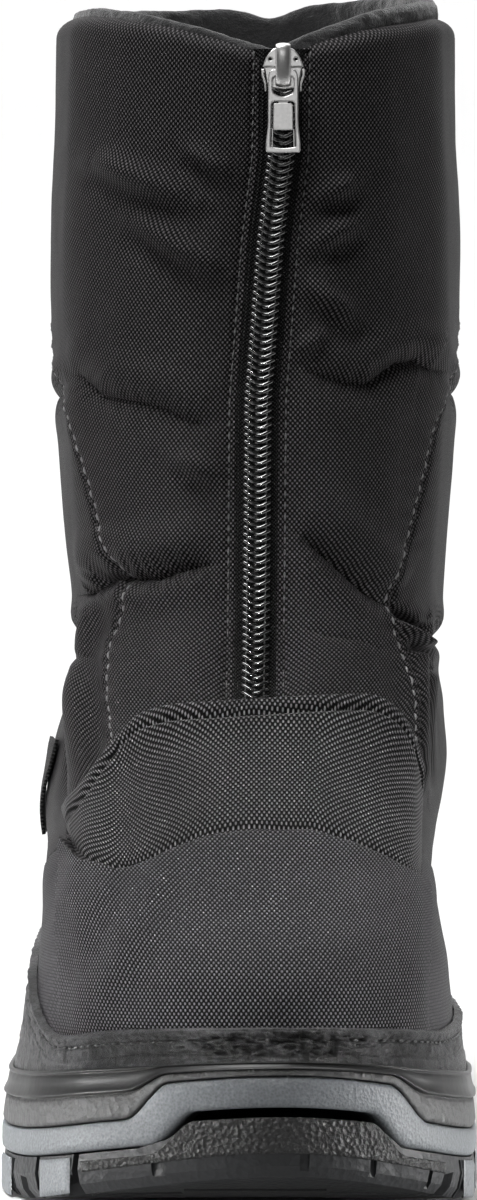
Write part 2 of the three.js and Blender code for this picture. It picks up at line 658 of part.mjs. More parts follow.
add('outsole', makeOutsole(), colours.rubber);
add('midsole_band', makeBand(), colours.grey);
add('sole_cup', makeCup(), colours.rubber);
add('insole', makeInsole(), colours.lining);
add('upper', makeUpper(), colours.nylon);
add('mudguard', makeMudguard(), colours.suede);
add('instep_pad', makePad(), colours.pad);
add('zip_tape', makeTape(), colours.tape);
add('zip_slider', makeSlider(), colours.metal, 1);
add('zip_pull', makePull(), colours.metal, 1);

export default group;
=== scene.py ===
import bpy
import math
import numpy as np
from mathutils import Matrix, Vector


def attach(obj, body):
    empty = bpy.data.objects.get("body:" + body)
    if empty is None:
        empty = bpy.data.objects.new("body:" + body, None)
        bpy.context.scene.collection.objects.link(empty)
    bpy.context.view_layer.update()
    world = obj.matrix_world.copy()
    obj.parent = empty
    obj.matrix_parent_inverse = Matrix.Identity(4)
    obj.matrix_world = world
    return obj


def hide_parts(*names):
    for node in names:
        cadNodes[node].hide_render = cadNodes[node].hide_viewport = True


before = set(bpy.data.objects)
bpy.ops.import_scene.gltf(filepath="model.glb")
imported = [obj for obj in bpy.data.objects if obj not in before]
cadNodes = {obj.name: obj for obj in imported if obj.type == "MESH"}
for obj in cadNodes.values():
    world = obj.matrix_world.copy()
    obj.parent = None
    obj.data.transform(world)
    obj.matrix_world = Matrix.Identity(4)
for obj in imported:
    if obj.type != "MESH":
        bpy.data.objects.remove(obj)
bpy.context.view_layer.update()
mm = 0.001
print("frame loaded")

# shape of the last, in millimetres: the same sections that the CAD upper was lofted through
last = {"length": 305.0, "wall": 7.0, "rimInset": 3.9, "pocket": 7.0, "levels": 13, "rimTaper": 1.3,
        "dip": 13.0, "dipWidth": 62.0, "dipPower": 1.6, "dipX": 9.0}   # the collar's dip at the zip

# heights of the sole's layers along its length, and the toe panel's ramps in x
sole = {"toeFrom": 225, "toeRun": 80, "toeSpring": 14, "heelRun": 20, "heelKick": 4,
        "heelLift": 8, "liftEnds": (60, 140), "cup": 31, "cupClimb": 9.3, "cupPower": 1.6,
        "band": 10.7, "bandHeight": 6.6, "panelStart": (268, 274), "panelLow": 7, "panelHigh": 7.7,
        "lowerRamp": (-21.5, -10.5, 31.5, 40.5), "upperRamp": (-27.5, -17, 36.5, 46),
        "pocketRise": 5.2, "pocketEnds": (270, 298)}

outline = {
    "s": [0, 10, 25, 45, 90, 120, 160, 195, 218, 250, 275, 292, 305],
    "lateral": [4, -23, -33.5, -38.5, -41, -44, -52, -58.3, -58.8, -53, -41, -23, 11],
    "medial": [4, 31, 41.5, 46, 44, 43, 49, 56.3, 59, 57.3, 50, 38, 11],
}

sections = {
    "frontS": [298.3, 294, 282.5, 261, 235, 208, 188, 171.5, 162, 156.5, 153, 150.5, 149.5, 149],
    "frontZ": [47, 56, 64, 71.5, 79, 90, 101.5, 116, 129.5, 146, 170, 206, 248, 300],
    "backS": [4, 4, 4.5, 5.5, 6.5, 8, 9, 10, 11, 10.5, 9.5, 9, 9.5, 11],
    "backZ": [52, 62, 71, 79, 86, 94, 103, 114, 128, 146, 172, 208, 250, 300],
    "heelLat": [-35.5, -36.5, -37.5, -38.5, -39.3, -40, -39.8, -37.8, -34.6, -36.3, -39, -40.6, -40, -38.9],
    "heelMed": [42, 42.5, 43, 43.7, 44.4, 45.5, 46.4, 46.6, 45.3, 47.2, 48.6, 49.8, 49.4, 47.9],
    "waistLat": [-45.5, -46, -47, -48.3, -50, -51, -50.4, -47, -43.2, -45.2, -48.6, -50.4, -49.8, -48.5],
    "waistMed": [44, 45, 46.5, 49, 51.5, 54.5, 56.7, 56, 54, 56.4, 57.8, 59.6, 59.2, 57.4],
    "ballLat": [-50.8, -49.4, -49, -49, -48.8, -47, -44.5, -42, -38.7, -41, -44.4, -46.2, -45.6, -44.3],
    "ballMed": [52.8, 52, 50.5, 49.5, 48.5, 48.7, 50, 50.3, 49, 52, 54, 55.4, 55, 53.2],
    "tipX": [11, 10.5, 10, 9.3, 8.5, 7.5, 6.5, 5.5, 5.2, 5.2, 5, 4.8, 4.8, 4.8],
    "backX": [4, 4, 4, 4.2, 4.3, 4.4, 4.5, 4.5, 4.6, 4.6, 4.7, 4.6, 4.7, 4.5],
    "toeRound": [.82, .82, .82, .83, .84, .84, .82, .79, .76, .74, .73, .73, .73, .73],
    "heelRound": [.88, .87, .86, .85, .84, .83, .82, .81, .8, .79, .78, .78, .78, .78],
}
keyAngles = np.radians([0, 20, 33, 50, 87, 118, 143, 158, 180])
zipLine = {"z": [100, 118, 150, 196, 216, 237, 259, 288, 320],
           "x": [4.1, 4.1, 4.6, 5, 6.6, 8.2, 11, 11.5, 11.5]}


def smooth(value, low, high):
    t = np.clip((np.asarray(value, float) - low) / (high - low), 0, 1)
    return t * t * (3 - 2 * t)


def mix(a, b, t):
    return a + (b - a) * t


def flattened(*values):
    return [np.array(a, float).ravel() for a in np.broadcast_arrays(*values)]


def toY(s):
    # y of a place that lies s along the sole from the heel; it works the other way round too
    return last["length"] / 2 - s


def curve(xs, ys, at):
    # a cubic through the knots that never overshoots; xs is (m), ys (m) or (n, m), at (n)
    xs = np.asarray(xs, float)
    at = np.atleast_1d(np.asarray(at, float))
    ys = np.asarray(ys, float)
    if ys.ndim == 1:
        ys = np.broadcast_to(ys, (at.size, xs.size))
    at = np.clip(at.ravel(), xs[0], xs[-1])
    slopes = np.diff(ys, axis=1) / np.diff(xs)
    before, after = slopes[:, :-1], slopes[:, 1:]
    product = before * after
    inner = np.where(product > 0, 2 * product / np.where(before + after == 0, 1, before + after), 0)
    tangents = np.concatenate([slopes[:, :1], inner, slopes[:, -1:]], axis=1)
    k = np.clip(np.searchsorted(xs, at, side="right") - 1, 0, xs.size - 2)
    rows = np.arange(at.size)
    width = xs[k + 1] - xs[k]
    t = (at - xs[k]) / width
    y0, y1 = ys[rows, k], ys[rows, k + 1]
    m0, m1 = tangents[rows, k] * width, tangents[rows, k + 1] * width
    return ((2 * t**3 - 3 * t**2 + 1) * y0 + (t**3 - 2 * t**2 + t) * m0
            + (3 * t**2 - 2 * t**3) * y1 + (t**3 - t**2) * m1)


def rocker(s):
    s = np.asarray(s, float)
    toe = sole["toeSpring"] * np.maximum(0, (s - sole["toeFrom"]) / sole["toeRun"]) ** 2
    run = sole["heelRun"]
    return np.where(s > run, toe, sole["heelKick"] * ((run - s) / run) ** 2)


def heelLift(s):
    return sole["heelLift"] * (1 - smooth(s, *sole["liftEnds"]))


def cupTop(s):
    climb = np.maximum(0, (np.asarray(s) - sole["toeFrom"]) / sole["toeRun"]) ** sole["cupPower"]
    return sole["cup"] + sole["cupClimb"] * climb + heelLift(s)


def toeRaise(s, x, ramp):
    start, full, end, gone = ramp
    return smooth(x, start, full) * (1 - smooth(x, end, gone)) * smooth(s, *sole["panelStart"])


def bandLow(s):
    return sole["band"] + 0.85 * np.where(np.asarray(s) > sole["heelRun"], rocker(s), 0) + 0.4 * heelLift(s)


def greyBottom(s, x):
    return bandLow(s) + sole["panelLow"] * toeRaise(s, x, sole["lowerRamp"])


def greyTop(s, x):
    return bandLow(s) + sole["bandHeight"] + sole["panelHigh"] * toeRaise(s, x, sole["upperRamp"])


def pocketFloor(s):
    return cupTop(s) - last["pocket"] + sole["pocketRise"] * smooth(s, *sole["pocketEnds"])


def station(u):
    turn = np.mod(u, 1.0)
    medial = turn <= 0.5
    return medial, np.pi * np.where(medial, 2 * turn, 2 - 2 * turn)


outlineAngles = np.arccos(1 - 2 * np.array(outline["s"], float) / last["length"])


def soleEdge(u):
    medial, angle = station(np.atleast_1d(u))
    x = np.where(medial, curve(outlineAngles, outline["medial"], angle),
                 curve(outlineAngles, outline["lateral"], angle))
    return x, last["length"] * (1 - np.cos(angle)) / 2


def soleLoop(u, inset):
    x, s = soleEdge(u)
    xa, sa = soleEdge(u - 0.004)
    xb, sb = soleEdge(u + 0.004)
    dx, ds = xb - xa, sb - sa
    size = np.hypot(dx, ds)
    return x - inset * ds / size, s + inset * dx / size


def sideTaper(u):
    medial, angle = station(u)
    return np.where(medial, last["rimTaper"], last["rimTaper"] + 0.6 * np.sin(angle) ** 0.7)


def sectionPoint(u, level):
    rows = np.arange(len(sections["frontS"]))
    value = {name: curve(rows, column, level) for name, column in sections.items()}
    medial, angle = station(u)
    share = (1 - np.cos(angle)) / 2
    heel = np.where(medial, value["heelMed"], value["heelLat"])
    waist = np.where(medial, value["waistMed"], value["waistLat"])
    ball = np.where(medial, value["ballMed"], value["ballLat"])
    back, tip = value["backX"], value["tipX"]
    heelRound, toeRound = value["heelRound"], value["toeRound"]
    widths = np.stack([back, mix(back, heel, heelRound * 0.71), mix(back, heel, heelRound), heel, waist,
                       ball, mix(tip, ball, toeRound), mix(tip, ball, toeRound * 0.66), tip], axis=1)
    x = curve(keyAngles, widths, angle)
    z = mix(value["backZ"], value["frontZ"], share)
    away = np.clip(np.abs(x - last["dipX"]) / last["dipWidth"], 0, 1)
    top = last["levels"]
    dip = last["dip"] * (1 - away) ** last["dipPower"]
    z = z - dip * smooth(share, 0.6, 0.85) * smooth(level, top - 1, top)
    return x, mix(value["backS"], value["frontS"], share), z


def exactPoint(u, level):
    u, level = flattened(u, level)
    x, s, z = sectionPoint(u, np.maximum(level, 0))
    lowX, lowS = soleLoop(u, sideTaper(u) + last["rimInset"])
    lowZ = mix(pocketFloor(lowS) + 0.65, cupTop(lowS) + 1, np.clip(level + 2, 0, 1))
    t = np.clip(level + 1, 0, 1)
    under = level < 0
    x, s, z = (np.where(under, mix(low, high, t), high) for low, high in ((lowX, x), (lowS, s), (lowZ, z)))
    return np.stack([x, toY(s), z], axis=1)


# the skin is worked out once on a fine grid and read from there
skinGrid = {"around": 720, "up": 620}
gridStations, gridLevels = np.meshgrid(np.arange(skinGrid["around"]) / skinGrid["around"],
                                       np.linspace(-2, last["levels"], skinGrid["up"]), indexing="ij")
skinTable = exactPoint(gridStations, gridLevels).reshape(skinGrid["around"], skinGrid["up"], 3)


def halved(low, high, isHigh, steps):
    # halves the span between low and high again and again; isHigh says where the middle is past the goal
    for _ in range(steps):
        middle = (low + high) / 2
        past = isHigh(middle)
        low, high = np.where(past, low, middle), np.where(past, middle, high)
    return (low + high) / 2


def skinPoint(u, level):
    # points of the body skin: level -2 is its hidden bottom edge, 0 and up are the sections
    u, level = flattened(u, level)
    across = np.mod(u, 1.0) * skinGrid["around"]
    up = np.clip((level + 2) / (last["levels"] + 2), 0, 1) * (skinGrid["up"] - 1)
    i = np.floor(across).astype(int)
    j = np.minimum(np.floor(up).astype(int), skinGrid["up"] - 2)
    a, b = (across - i)[:, None], (up - j)[:, None]
    i, i2 = i % skinGrid["around"], (i + 1) % skinGrid["around"]
    low = skinTable[i, j] * (1 - a) + skinTable[i2, j] * a
    high = skinTable[i, j + 1] * (1 - a) + skinTable[i2, j + 1] * a
    return low * (1 - b) + high * b


def skin(u, level, outward=0.0):
    # skin points moved outward along the skin's normal, and the normals
    u, level, outward = flattened(u, level, outward)
    at = skinPoint(u, level)
    low, high = np.clip(level - 0.25, -2, last["levels"]), np.clip(level + 0.25, -2, last["levels"])
    along = skinPoint(u + 0.004, level) - skinPoint(u - 0.004, level)
    up = skinPoint(u, high) - skinPoint(u, low)
    normal = np.cross(along, up)
    normal /= np.linalg.norm(normal, axis=1, keepdims=True)
    # a point well inside the boot tells the inside from the outside
    away = (at - np.array([4, 30, 60])) * np.array([1, 0.3, 0.02])
    normal[(normal * away).sum(axis=1) < 0] *= -1
    return at + normal * outward[:, None], normal


def levelAt(u, height):
    # the level at which the skin reaches a height
    u, height = flattened(u, height)
    low, high = np.full(u.size, -2.0), np.full(u.size, float(last["levels"]))
    return halved(low, high, lambda level: skinPoint(u, level)[:, 2] >= height, 22)


def frontPlace(x, z):
    # the station and level of front points given by x and height
    x, z = flattened(x, z)
    low, high = np.full(x.size, 0.22), np.full(x.size, 0.78)
    u = halved(low, high, lambda turn: skinPoint(turn, levelAt(turn, z))[:, 0] <= x, 18)
    return u, levelAt(u, z)


# arc length round a middle shaft section, nought at the front, positive toward the big-toe side
refU = np.linspace(0, 1, 721)
refRing = skinPoint(refU, 10.0)
refArc = np.concatenate([[0], np.cumsum(np.linalg.norm(np.diff(refRing[:, :2], axis=0), axis=1))])
refArc = refArc[360] - refArc


def girth(u):
    return np.interp(np.mod(u, 1.0), refU, refArc)


def zipX(z):
    return np.interp(z, zipLine["z"], zipLine["x"])


def bell(distance, width):
    # a soft rise, one high
    return np.exp(-(distance / width) ** 2)


def valueNoise(points, scale, seed):
    # smooth noise from -1 to 1 over points (n, 2 or 3) with the given cell size
    rng = np.random.default_rng(seed)
    dims = points.shape[1]
    size = 64
    table = rng.uniform(-1, 1, (size,) * dims)
    cell = points / scale
    base = np.floor(cell).astype(int)
    part = cell - base
    part = part * part * (3 - 2 * part)
    total = np.zeros(len(points))
    for corner in range(2**dims):
        offsets = [(corner >> d) & 1 for d in range(dims)]
        weight = np.ones(len(points))
        index = []
        for d, o in enumerate(offsets):
            weight *= part[:, d] if o else 1 - part[:, d]
            index.append((base[:, d] + o) % size)
        total += weight * table[tuple(index)]
    return total


def lineDistance(points, line):
    # distance of points (n, 2) from a polyline, the share along it, and which side they are on
    line = np.asarray(line, float)
    best = np.full(len(points), 1e9)
    share = np.zeros(len(points))
    side = np.zeros(len(points))
    lengths = np.linalg.norm(np.diff(line, axis=0), axis=1)
    starts = np.concatenate([[0], np.cumsum(lengths)])
    for i in range(len(line) - 1):
        a, d = line[i], line[i + 1] - line[i]
        t = np.clip(((points - a) @ d) / (d @ d), 0, 1)
        gapVector = points - a - t[:, None] * d
        distance = np.hypot(gapVector[:, 0], gapVector[:, 1])
        closer = distance < best
        best = np.where(closer, distance, best)
        share = np.where(closer, (starts[i] + t * lengths[i]) / starts[-1], share)
        side = np.where(closer, np.sign(d[0] * gapVector[:, 1] - d[1] * gapVector[:, 0]), side)
    return best, share, side


# mesh helpers
def makeObject(name, points, faces, uv=None):
    mesh = bpy.data.meshes.new(name)
    mesh.from_pydata((np.asarray(points) * mm).tolist(), [], [list(map(int, f)) for f in faces])
    if uv is not None:
        layer = mesh.uv_layers.new(name="cloth")
        loops = np.zeros(len(mesh.loops), int)
        mesh.loops.foreach_get("vertex_index", loops)
        layer.data.foreach_set("uv", (np.asarray(uv)[loops] * mm).ravel())
    mesh.validate()
    mesh.polygons.foreach_set("use_smooth", [True] * len(mesh.polygons))
    made = bpy.data.objects.new(name, mesh)
    bpy.context.scene.collection.objects.link(made)
    return made


def gridFaces(rows, columns, closeColumns=False, closeRows=False, flip=False):
    r, c = np.indices((rows if closeRows else rows - 1, columns if closeColumns else columns - 1))
    r, c = r.ravel(), c.ravel()
    r2, c2 = (r + 1) % rows, (c + 1) % columns
    faces = np.stack([r * columns + c, r * columns + c2, r2 * columns + c2, r2 * columns + c], axis=1)
    return faces[:, ::-1] if flip else faces


def gridUv(points, rows, columns, fromFront=False, laid=False):
    # real lengths across and up a grid, so that a weave keeps its size; fromFront measures both ways round
    grid = points.reshape(rows, columns, 3)
    steps = np.linalg.norm(np.diff(grid, axis=1), axis=2)
    across = np.concatenate([np.zeros((rows, 1)), np.cumsum(steps, axis=1)], 1)
    steps = np.diff(grid, axis=0)
    climb = np.linalg.norm(steps, axis=2)
    if laid:   # the cloth is stretched where it lies flatter
        climb = np.sqrt(climb * np.maximum(np.abs(steps[:, :, 2]), 0.2 * climb))
    up = np.concatenate([np.zeros((1, columns)), np.cumsum(climb, axis=0)], 0)
    if fromFront:
        across[:, columns // 2:] -= across[:, -1:]
    else:
        across -= across[:, -1:] / 2
    return np.stack([across.ravel(), up.ravel()], axis=1)


def finishPiece(made, body, materials, replaced=None):
    for material in materials if isinstance(materials, list) else [materials]:
        made.data.materials.append(material)
    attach(made, body)
    if replaced:
        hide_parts(replaced)


# materials
def newMaterial(name, **values):
    material = bpy.data.materials.new(name)
    material.use_nodes = True
    shader = material.node_tree.nodes["Principled BSDF"]
    for socket, value in values.items():
        shader.inputs[socket.replace("_", " ")].default_value = value
    return material, material.node_tree, shader


def node(tree, kind, inputs=None, **values):
    made = tree.nodes.new("ShaderNode" + kind)
    for key, value in values.items():
        setattr(made, key, value)
    for key, value in (inputs or {}).items():
        socket = made.inputs[key]
        if isinstance(value, bpy.types.NodeSocket):
            tree.links.new(value, socket)
        else:
            socket.default_value = value
    return made


def calc(tree, operation, a, b=0.0, c=0.0):
    return node(tree, "Math", {0: a, 1: b, 2: c}, operation=operation).outputs[0]


def noiseFac(tree, place, scale, detail, roughness=0.5):
    return node(tree, "TexNoise", {"Vector": place, "Scale": scale, "Detail": detail,
                                   "Roughness": roughness}).outputs["Fac"]


def softStep(tree, value, low, high):
    return node(tree, "MapRange", {"Value": value, "From Min": low, "From Max": high},
                interpolation_type="SMOOTHSTEP").outputs[0]


def mixColour(tree, share, a, b, blend="MIX"):
    made = node(tree, "Mix", data_type="RGBA", blend_type=blend)
    for socket, value in ((made.inputs[0], share), (made.inputs[6], a), (made.inputs[7], b)):
        if isinstance(value, bpy.types.NodeSocket):
            tree.links.new(value, socket)
        else:
            socket.default_value = value
    return made.outputs[2]


def grey(value, tint=(1.0, 1.0, 1.0)):
    return (value * tint[0], value * tint[1], value * tint[2], 1.0)


def bumpInto(tree, shader, height, distance, strength):
    made = node(tree, "Bump", {"Height": height, "Distance": distance, "Strength": strength})
    tree.links.new(made.outputs["Normal"], shader.inputs["Normal"])


def shadeInto(tree, shader, colour, level):
    # the colour, made lighter and darker by a level near 1
    shade = node(tree, "CombineXYZ", {0: level, 1: level, 2: level}).outputs[0]
    tree.links.new(mixColour(tree, 1.0, colour, shade, "MULTIPLY"), shader.inputs["Base Color"])


def clothMaterial(name, look):
    # plain weave: staggered yarn crowns with dark gaps between them; on this near-black cloth the crowns'
    # lighter colour is a painted highlight and the gaps' darkness is painted shade, over a bump of the same
    # pattern
    material, tree, shader = newMaterial(name, Roughness=look["roughness"],
                                         Specular_IOR_Level=look["specular"])
    uv = node(tree, "UVMap", uv_map="cloth").outputs[0]
    place = node(tree, "TexCoord").outputs["Object"]
    wobble = node(tree, "TexNoise", {"Vector": place, "Scale": 220.0, "Detail": 1.0}).outputs["Color"]
    shift = node(tree, "VectorMath", {0: wobble, 1: (0.5, 0.5, 0.5)}, operation="SUBTRACT").outputs[0]
    shift = node(tree, "VectorMath", {0: shift, "Scale": look["wobble"] * mm}, operation="SCALE").outputs[0]
    moved = node(tree, "VectorMath", {0: uv, 1: shift}, operation="ADD").outputs[0]
    split = node(tree, "SeparateXYZ", {0: moved})
    turns = (2 * math.pi / (look["pitch"] * mm), math.pi / (look["row"] * mm))
    across, up = (calc(tree, "COSINE", calc(tree, "MULTIPLY", split.outputs[i], turns[i])) for i in (0, 1))
    crown = calc(tree, "MULTIPLY_ADD", calc(tree, "MULTIPLY", across, up), 0.5, 0.5)
    # the crowns get the light colour as a painted highlight, the gaps the dark colour as painted shade
    tone = softStep(tree, crown, look["gap"], look["full"])
    yarn = noiseFac(tree, place, look["yarn"], 2.0)
    patchy = noiseFac(tree, place, look["patches"], 3.0)
    level = calc(tree, "MULTIPLY_ADD", yarn, 0.9, 0.55)
    level = calc(tree, "MULTIPLY", level, calc(tree, "MULTIPLY_ADD", patchy, 0.5, 0.75))
    shadeInto(tree, shader, mixColour(tree, tone, look["dark"], look["light"]), level)
    height = calc(tree, "MULTIPLY_ADD", yarn, 0.25, crown)
    bumpInto(tree, shader, height, look["depth"] * mm, look["bump"])
    return material


# dark is the painted shade in the weave's gaps and light the painted highlight on its crowns; between them
# the cloth is near-black
shellLook = {"roughness": 0.48, "specular": 0.08, "wobble": 0.16, "pitch": 1.2, "row": 0.71, "gap": 0.45,
             "full": 0.88, "depth": 0.3, "bump": 1.0, "yarn": 1600.0, "patches": 28.0, "dark": grey(0.001),
             "light": grey(0.1, (1, 0.94, 0.98))}
# the pad's and the vamp's weaves take lighter colours than the shell's: painted top light on these
# upward-facing panels; their weave sizes are their own
padLookTopLit = dict(shellLook, pitch=1.25, row=1.08, gap=0.5, full=0.9, depth=0.4,
               light=grey(0.19, (1, 0.96, 1.0)))
vampLookTopLit = dict(shellLook, row=0.8, gap=0.5, full=0.84, depth=0.34, light=grey(0.165, (1, 0.96, 1.04)))
# the tape's far darker colour is painted shade for the tape sunk beside the coil
tapeLookShaded = dict(shellLook, pitch=1.0, row=0.5, light=grey(0.03))
shellCloth = clothMaterial("shell_cloth", shellLook)
padClothTopLit = clothMaterial("pad_cloth_painted_top_light", padLookTopLit)
vampClothTopLit = clothMaterial("vamp_cloth_painted_top_light", vampLookTopLit)
tapeClothShaded = clothMaterial("tape_cloth", tapeLookShaded)


suedeLook = {"roughness": 0.37, "dark": grey(0.002), "light": grey(0.066, (1, 1, 1.05)), "nap": 520.0,
             "brushed": 70.0, "depth": 2.2}


def suedeMaterial(look):
    material, tree, shader = newMaterial("suede", Roughness=look["roughness"], Sheen_Weight=0.1,
                                         Sheen_Roughness=0.4, Specular_IOR_Level=0.4)
    place = node(tree, "TexCoord").outputs["Object"]
    nap = noiseFac(tree, place, look["nap"], 6.0, 0.8)
    brushed = noiseFac(tree, place, look["brushed"], 4.0, 0.6)
    tone = calc(tree, "MULTIPLY_ADD", brushed, 0.35, calc(tree, "MULTIPLY", nap, 0.65))
    tone = softStep(tree, tone, 0.45, 0.58)
    tree.links.new(mixColour(tree, tone, look["dark"], look["light"]), shader.inputs["Base Color"])
    bumpInto(tree, shader, nap, look["depth"] * mm, 1.0)
    return material


def cellDistance(tree, place, scale):
    return node(tree, "TexVoronoi", {"Vector": place, "Scale": scale}, feature="F1").outputs["Distance"]


def rubberMaterial(name, colour, roughness, grain, grainScale, speck=0.5, specular=0.5):
    material, tree, shader = newMaterial(name, Roughness=roughness, Specular_IOR_Level=specular)
    place = node(tree, "TexCoord").outputs["Object"]
    fine = noiseFac(tree, place, grainScale, 4.0)
    level = calc(tree, "MULTIPLY_ADD", noiseFac(tree, place, 35.0, 3.0), 0.5, 0.75)
    if speck:
        dots = cellDistance(tree, place, 1500.0)
        level = calc(tree, "MULTIPLY", level, calc(tree, "MULTIPLY_ADD", dots, speck, 1 - speck * 0.45))
    shadeInto(tree, shader, colour, level)
    cells = cellDistance(tree, place, grainScale * 0.8)
    bumpInto(tree, shader, calc(tree, "ADD", fine, cells), grain * mm, 0.7)
    return material


suede = suedeMaterial(suedeLook)
# rubbers: colour, roughness, depth of the grain, its scale
soleBlack = rubberMaterial("sole_black", grey(0.014, (0.95, 1, 1.08)), 0.5, 0.25, 700.0, speck=0.3,
                           specular=0.3)
cupGrained = rubberMaterial("cup_grained", grey(0.05), 0.6, 0.5, 620.0)
cupSmooth = rubberMaterial("cup_smooth", grey(0.01), 0.38, 0.06, 400.0, speck=0.0, specular=0.4)
bumperRubber = rubberMaterial("bumper_rubber", grey(0.014), 0.45, 0.9, 1000.0, specular=0.35)
soleGrey = rubberMaterial("sole_grey", grey(0.127, (0.93, 1, 1.06)), 0.55, 0.2, 1300.0, speck=0.6)


def fleeceMaterial():
    material, tree, shader = newMaterial("fleece", Roughness=0.95, Sheen_Weight=0.6, Sheen_Roughness=0.5,
                                         Specular_IOR_Level=0.15)
    place = node(tree, "TexCoord").outputs["Object"]
    tuft = noiseFac(tree, place, 420.0, 5.0, 0.75)
    pile = mixColour(tree, tuft, grey(0.003), grey(0.027, (1, 1, 1.06)))
    tree.links.new(pile, shader.inputs["Base Color"])
    bumpInto(tree, shader, tuft, 1.4 * mm, 0.8)
    return material


def plainMaterial(name, colour, roughness, depth=0.05, scale=900.0, **values):
    material, tree, shader = newMaterial(name, Roughness=roughness, **values)
    fine = noiseFac(tree, node(tree, "TexCoord").outputs["Object"], scale, 3.0)
    shadeInto(tree, shader, colour, calc(tree, "MULTIPLY_ADD", fine, 0.3, 0.85))
    bumpInto(tree, shader, fine, depth * mm, 0.5)
    return material


fleece = fleeceMaterial()
coilPlastic = plainMaterial("coil_plastic", grey(0.008), 0.2, depth=0.015, Specular_IOR_Level=1.0,
                            Coat_Weight=0.8, Coat_Roughness=0.12)
threadDark, threadSoft, threadLight = (
    plainMaterial("thread_" + name, grey(tone), 0.6, Sheen_Weight=0.3)
    for name, tone in (("dark", 0.03), ("soft", 0.07), ("light", 0.16)))
zincMetal = plainMaterial("zinc_metal", grey(0.72, (1, 0.99, 0.98)), 0.34, depth=0.03, scale=1400.0,
                          Metallic=1.0)
print("materials made")

# panels, folds and seams of the shaft and foot
panels = {
    # where the front panels lap over the side panels: height, then x on the outer and on the big-toe side
    "seamZ": [96, 105, 121, 132, 144, 148.6, 161, 177, 193],
    "seamOuterX": [-35, -33.4, -33.4, -32, -30, -30.5, -36.6, -41, -45],
    "seamInnerX": [47, 45.5, 43, 40.3, 39.5, 40.5, 45.5, 49.8, 53], "sideGirth": 124,
    "step": 0.9, "shadow": 0.7, "groove": 0.35, "stitchAt": 2.3, "pucker": 0.25, "puckerPitch": 5.5,
}


def foldForm(depth, above, below, bulge, roll, pleat, *lines):
    # the crease's depth, how far the cloth rolls in above and below it, its bulges there, and the pleats
    form = {"depth": depth, "above": above, "below": below, "bulge": bulge, "roll": roll, "pleat": pleat}
    return [dict(form, line=line) for line in lines]


# gathered folds of the front, by x and z
folds = [
    *foldForm(3.2, 6.5, 9.0, 1.5, 0.6, 0.15,
              [(-46, 203), (-42, 202.6), (-36.8, 197.1), (-27.5, 195.6), (-20.3, 194), (-14.1, 190.9),
               (-7.9, 189.9), (-1.7, 191)]),
    *foldForm(3.6, 6.0, 7.0, 1.7, 0.8, 0.15,
              [(13.3, 204.8), (20, 203), (28, 200.6), (34.5, 200.2), (41.7, 205.4), (46.9, 206.4),
               (50, 204.3), (56, 203.5)]),
    *foldForm(5.0, 7.5, 4.6, 2.2, 1.6, 0.4,
              [(-46, 143.2), (-39.9, 144.6), (-36.4, 148.6), (-32.5, 149.8), (-29.3, 149.4),
               (-21.8, 149.8), (-17.4, 151.6), (-9.9, 153.4), (-2.5, 153.9)]),
    *foldForm(5.2, 8.0, 4.6, 2.2, 2.0, 0.25,
              [(12.3, 164.5), (17, 160.8), (24.3, 154.4), (30.6, 148.8), (35.5, 144.3), (39.8, 141.4)]),
    *foldForm(3.2, 3.4, 2.2, 0.7, 0.7, 0.2,
              [(39, 141.8), (45, 137.6), (48.5, 132.5), (53, 135.2), (58, 136)]),
    *foldForm(2.2, 2.6, 2.0, 0.5, 0.5, 0.2,
              [(41.5, 133), (46.5, 129), (49, 124.5), (56, 125.5)]),
    *foldForm(0.9, 3.4, 4.0, 0.3, 0.2, 0.1,
              [(13.5, 138.5), (22, 134.6), (30, 133.4), (36, 130)]),
    *foldForm(1.3, 3.0, 2.4, 0.3, 0.4, 0.2,
              [(-46, 130), (-40, 127.4), (-36, 128.6)]),
]
ridges = [   # soft raised rolls, or troughs: height, half width, line
    (1.5, 3.6, [(-37.8, 259.1), (-12, 247.7)]),
    (1.7, 3.4, [(-27.5, 243.6), (-3.7, 228.1)]),
    (1.3, 2.6, [(-13, 261.2), (-1.7, 253.9)]),
    (1.5, 3.0, [(-16, 181), (-1.7, 175.4)]),
    (1.6, 2.8, [(16.9, 247.7), (30, 252.4)]),
    (1.6, 2.8, [(15.4, 235.3), (31, 241.9)]),
    (1.7, 2.8, [(16.9, 227), (30, 217.2)]),
    (1.4, 2.2, [(13.8, 208.5), (22, 212.8)]),
    (1.7, 2.6, [(-39.5, 146), (-40.5, 120), (-42, 93)]),
    (-1.5, 1.3, [(-43.4, 144), (-44.2, 120), (-45.5, 93)]),
    (1.5, 2.2, [(-46.5, 134), (-47.5, 112), (-49, 89)]),
    (1.0, 3.0, [(41.5, 136), (44.5, 116), (48, 96)]),
    (-1.6, 1.5, [(40.4, 141), (44.6, 137.4), (47.2, 135.4), (48.4, 137.8)]),
    (0.9, 2.0, [(41, 137.2), (44.5, 134.4), (47.5, 130.6)]),
    (-1.1, 1.1, [(41.8, 131), (45.6, 130), (48.2, 126.5)]),
    (-1.4, 1.3, [(46, 130), (48.5, 112), (50.5, 96)]),
    (-1.2, 1.3, [(51.5, 127), (53.5, 110), (55, 92)]),
    (1.0, 3.0, [(-38.2, 79), (-45.7, 64)]),
    (1.5, 4.0, [(-29, 82), (-45, 57)]),
    (1.1, 4.5, [(-18, 79), (-36, 50)]),
]
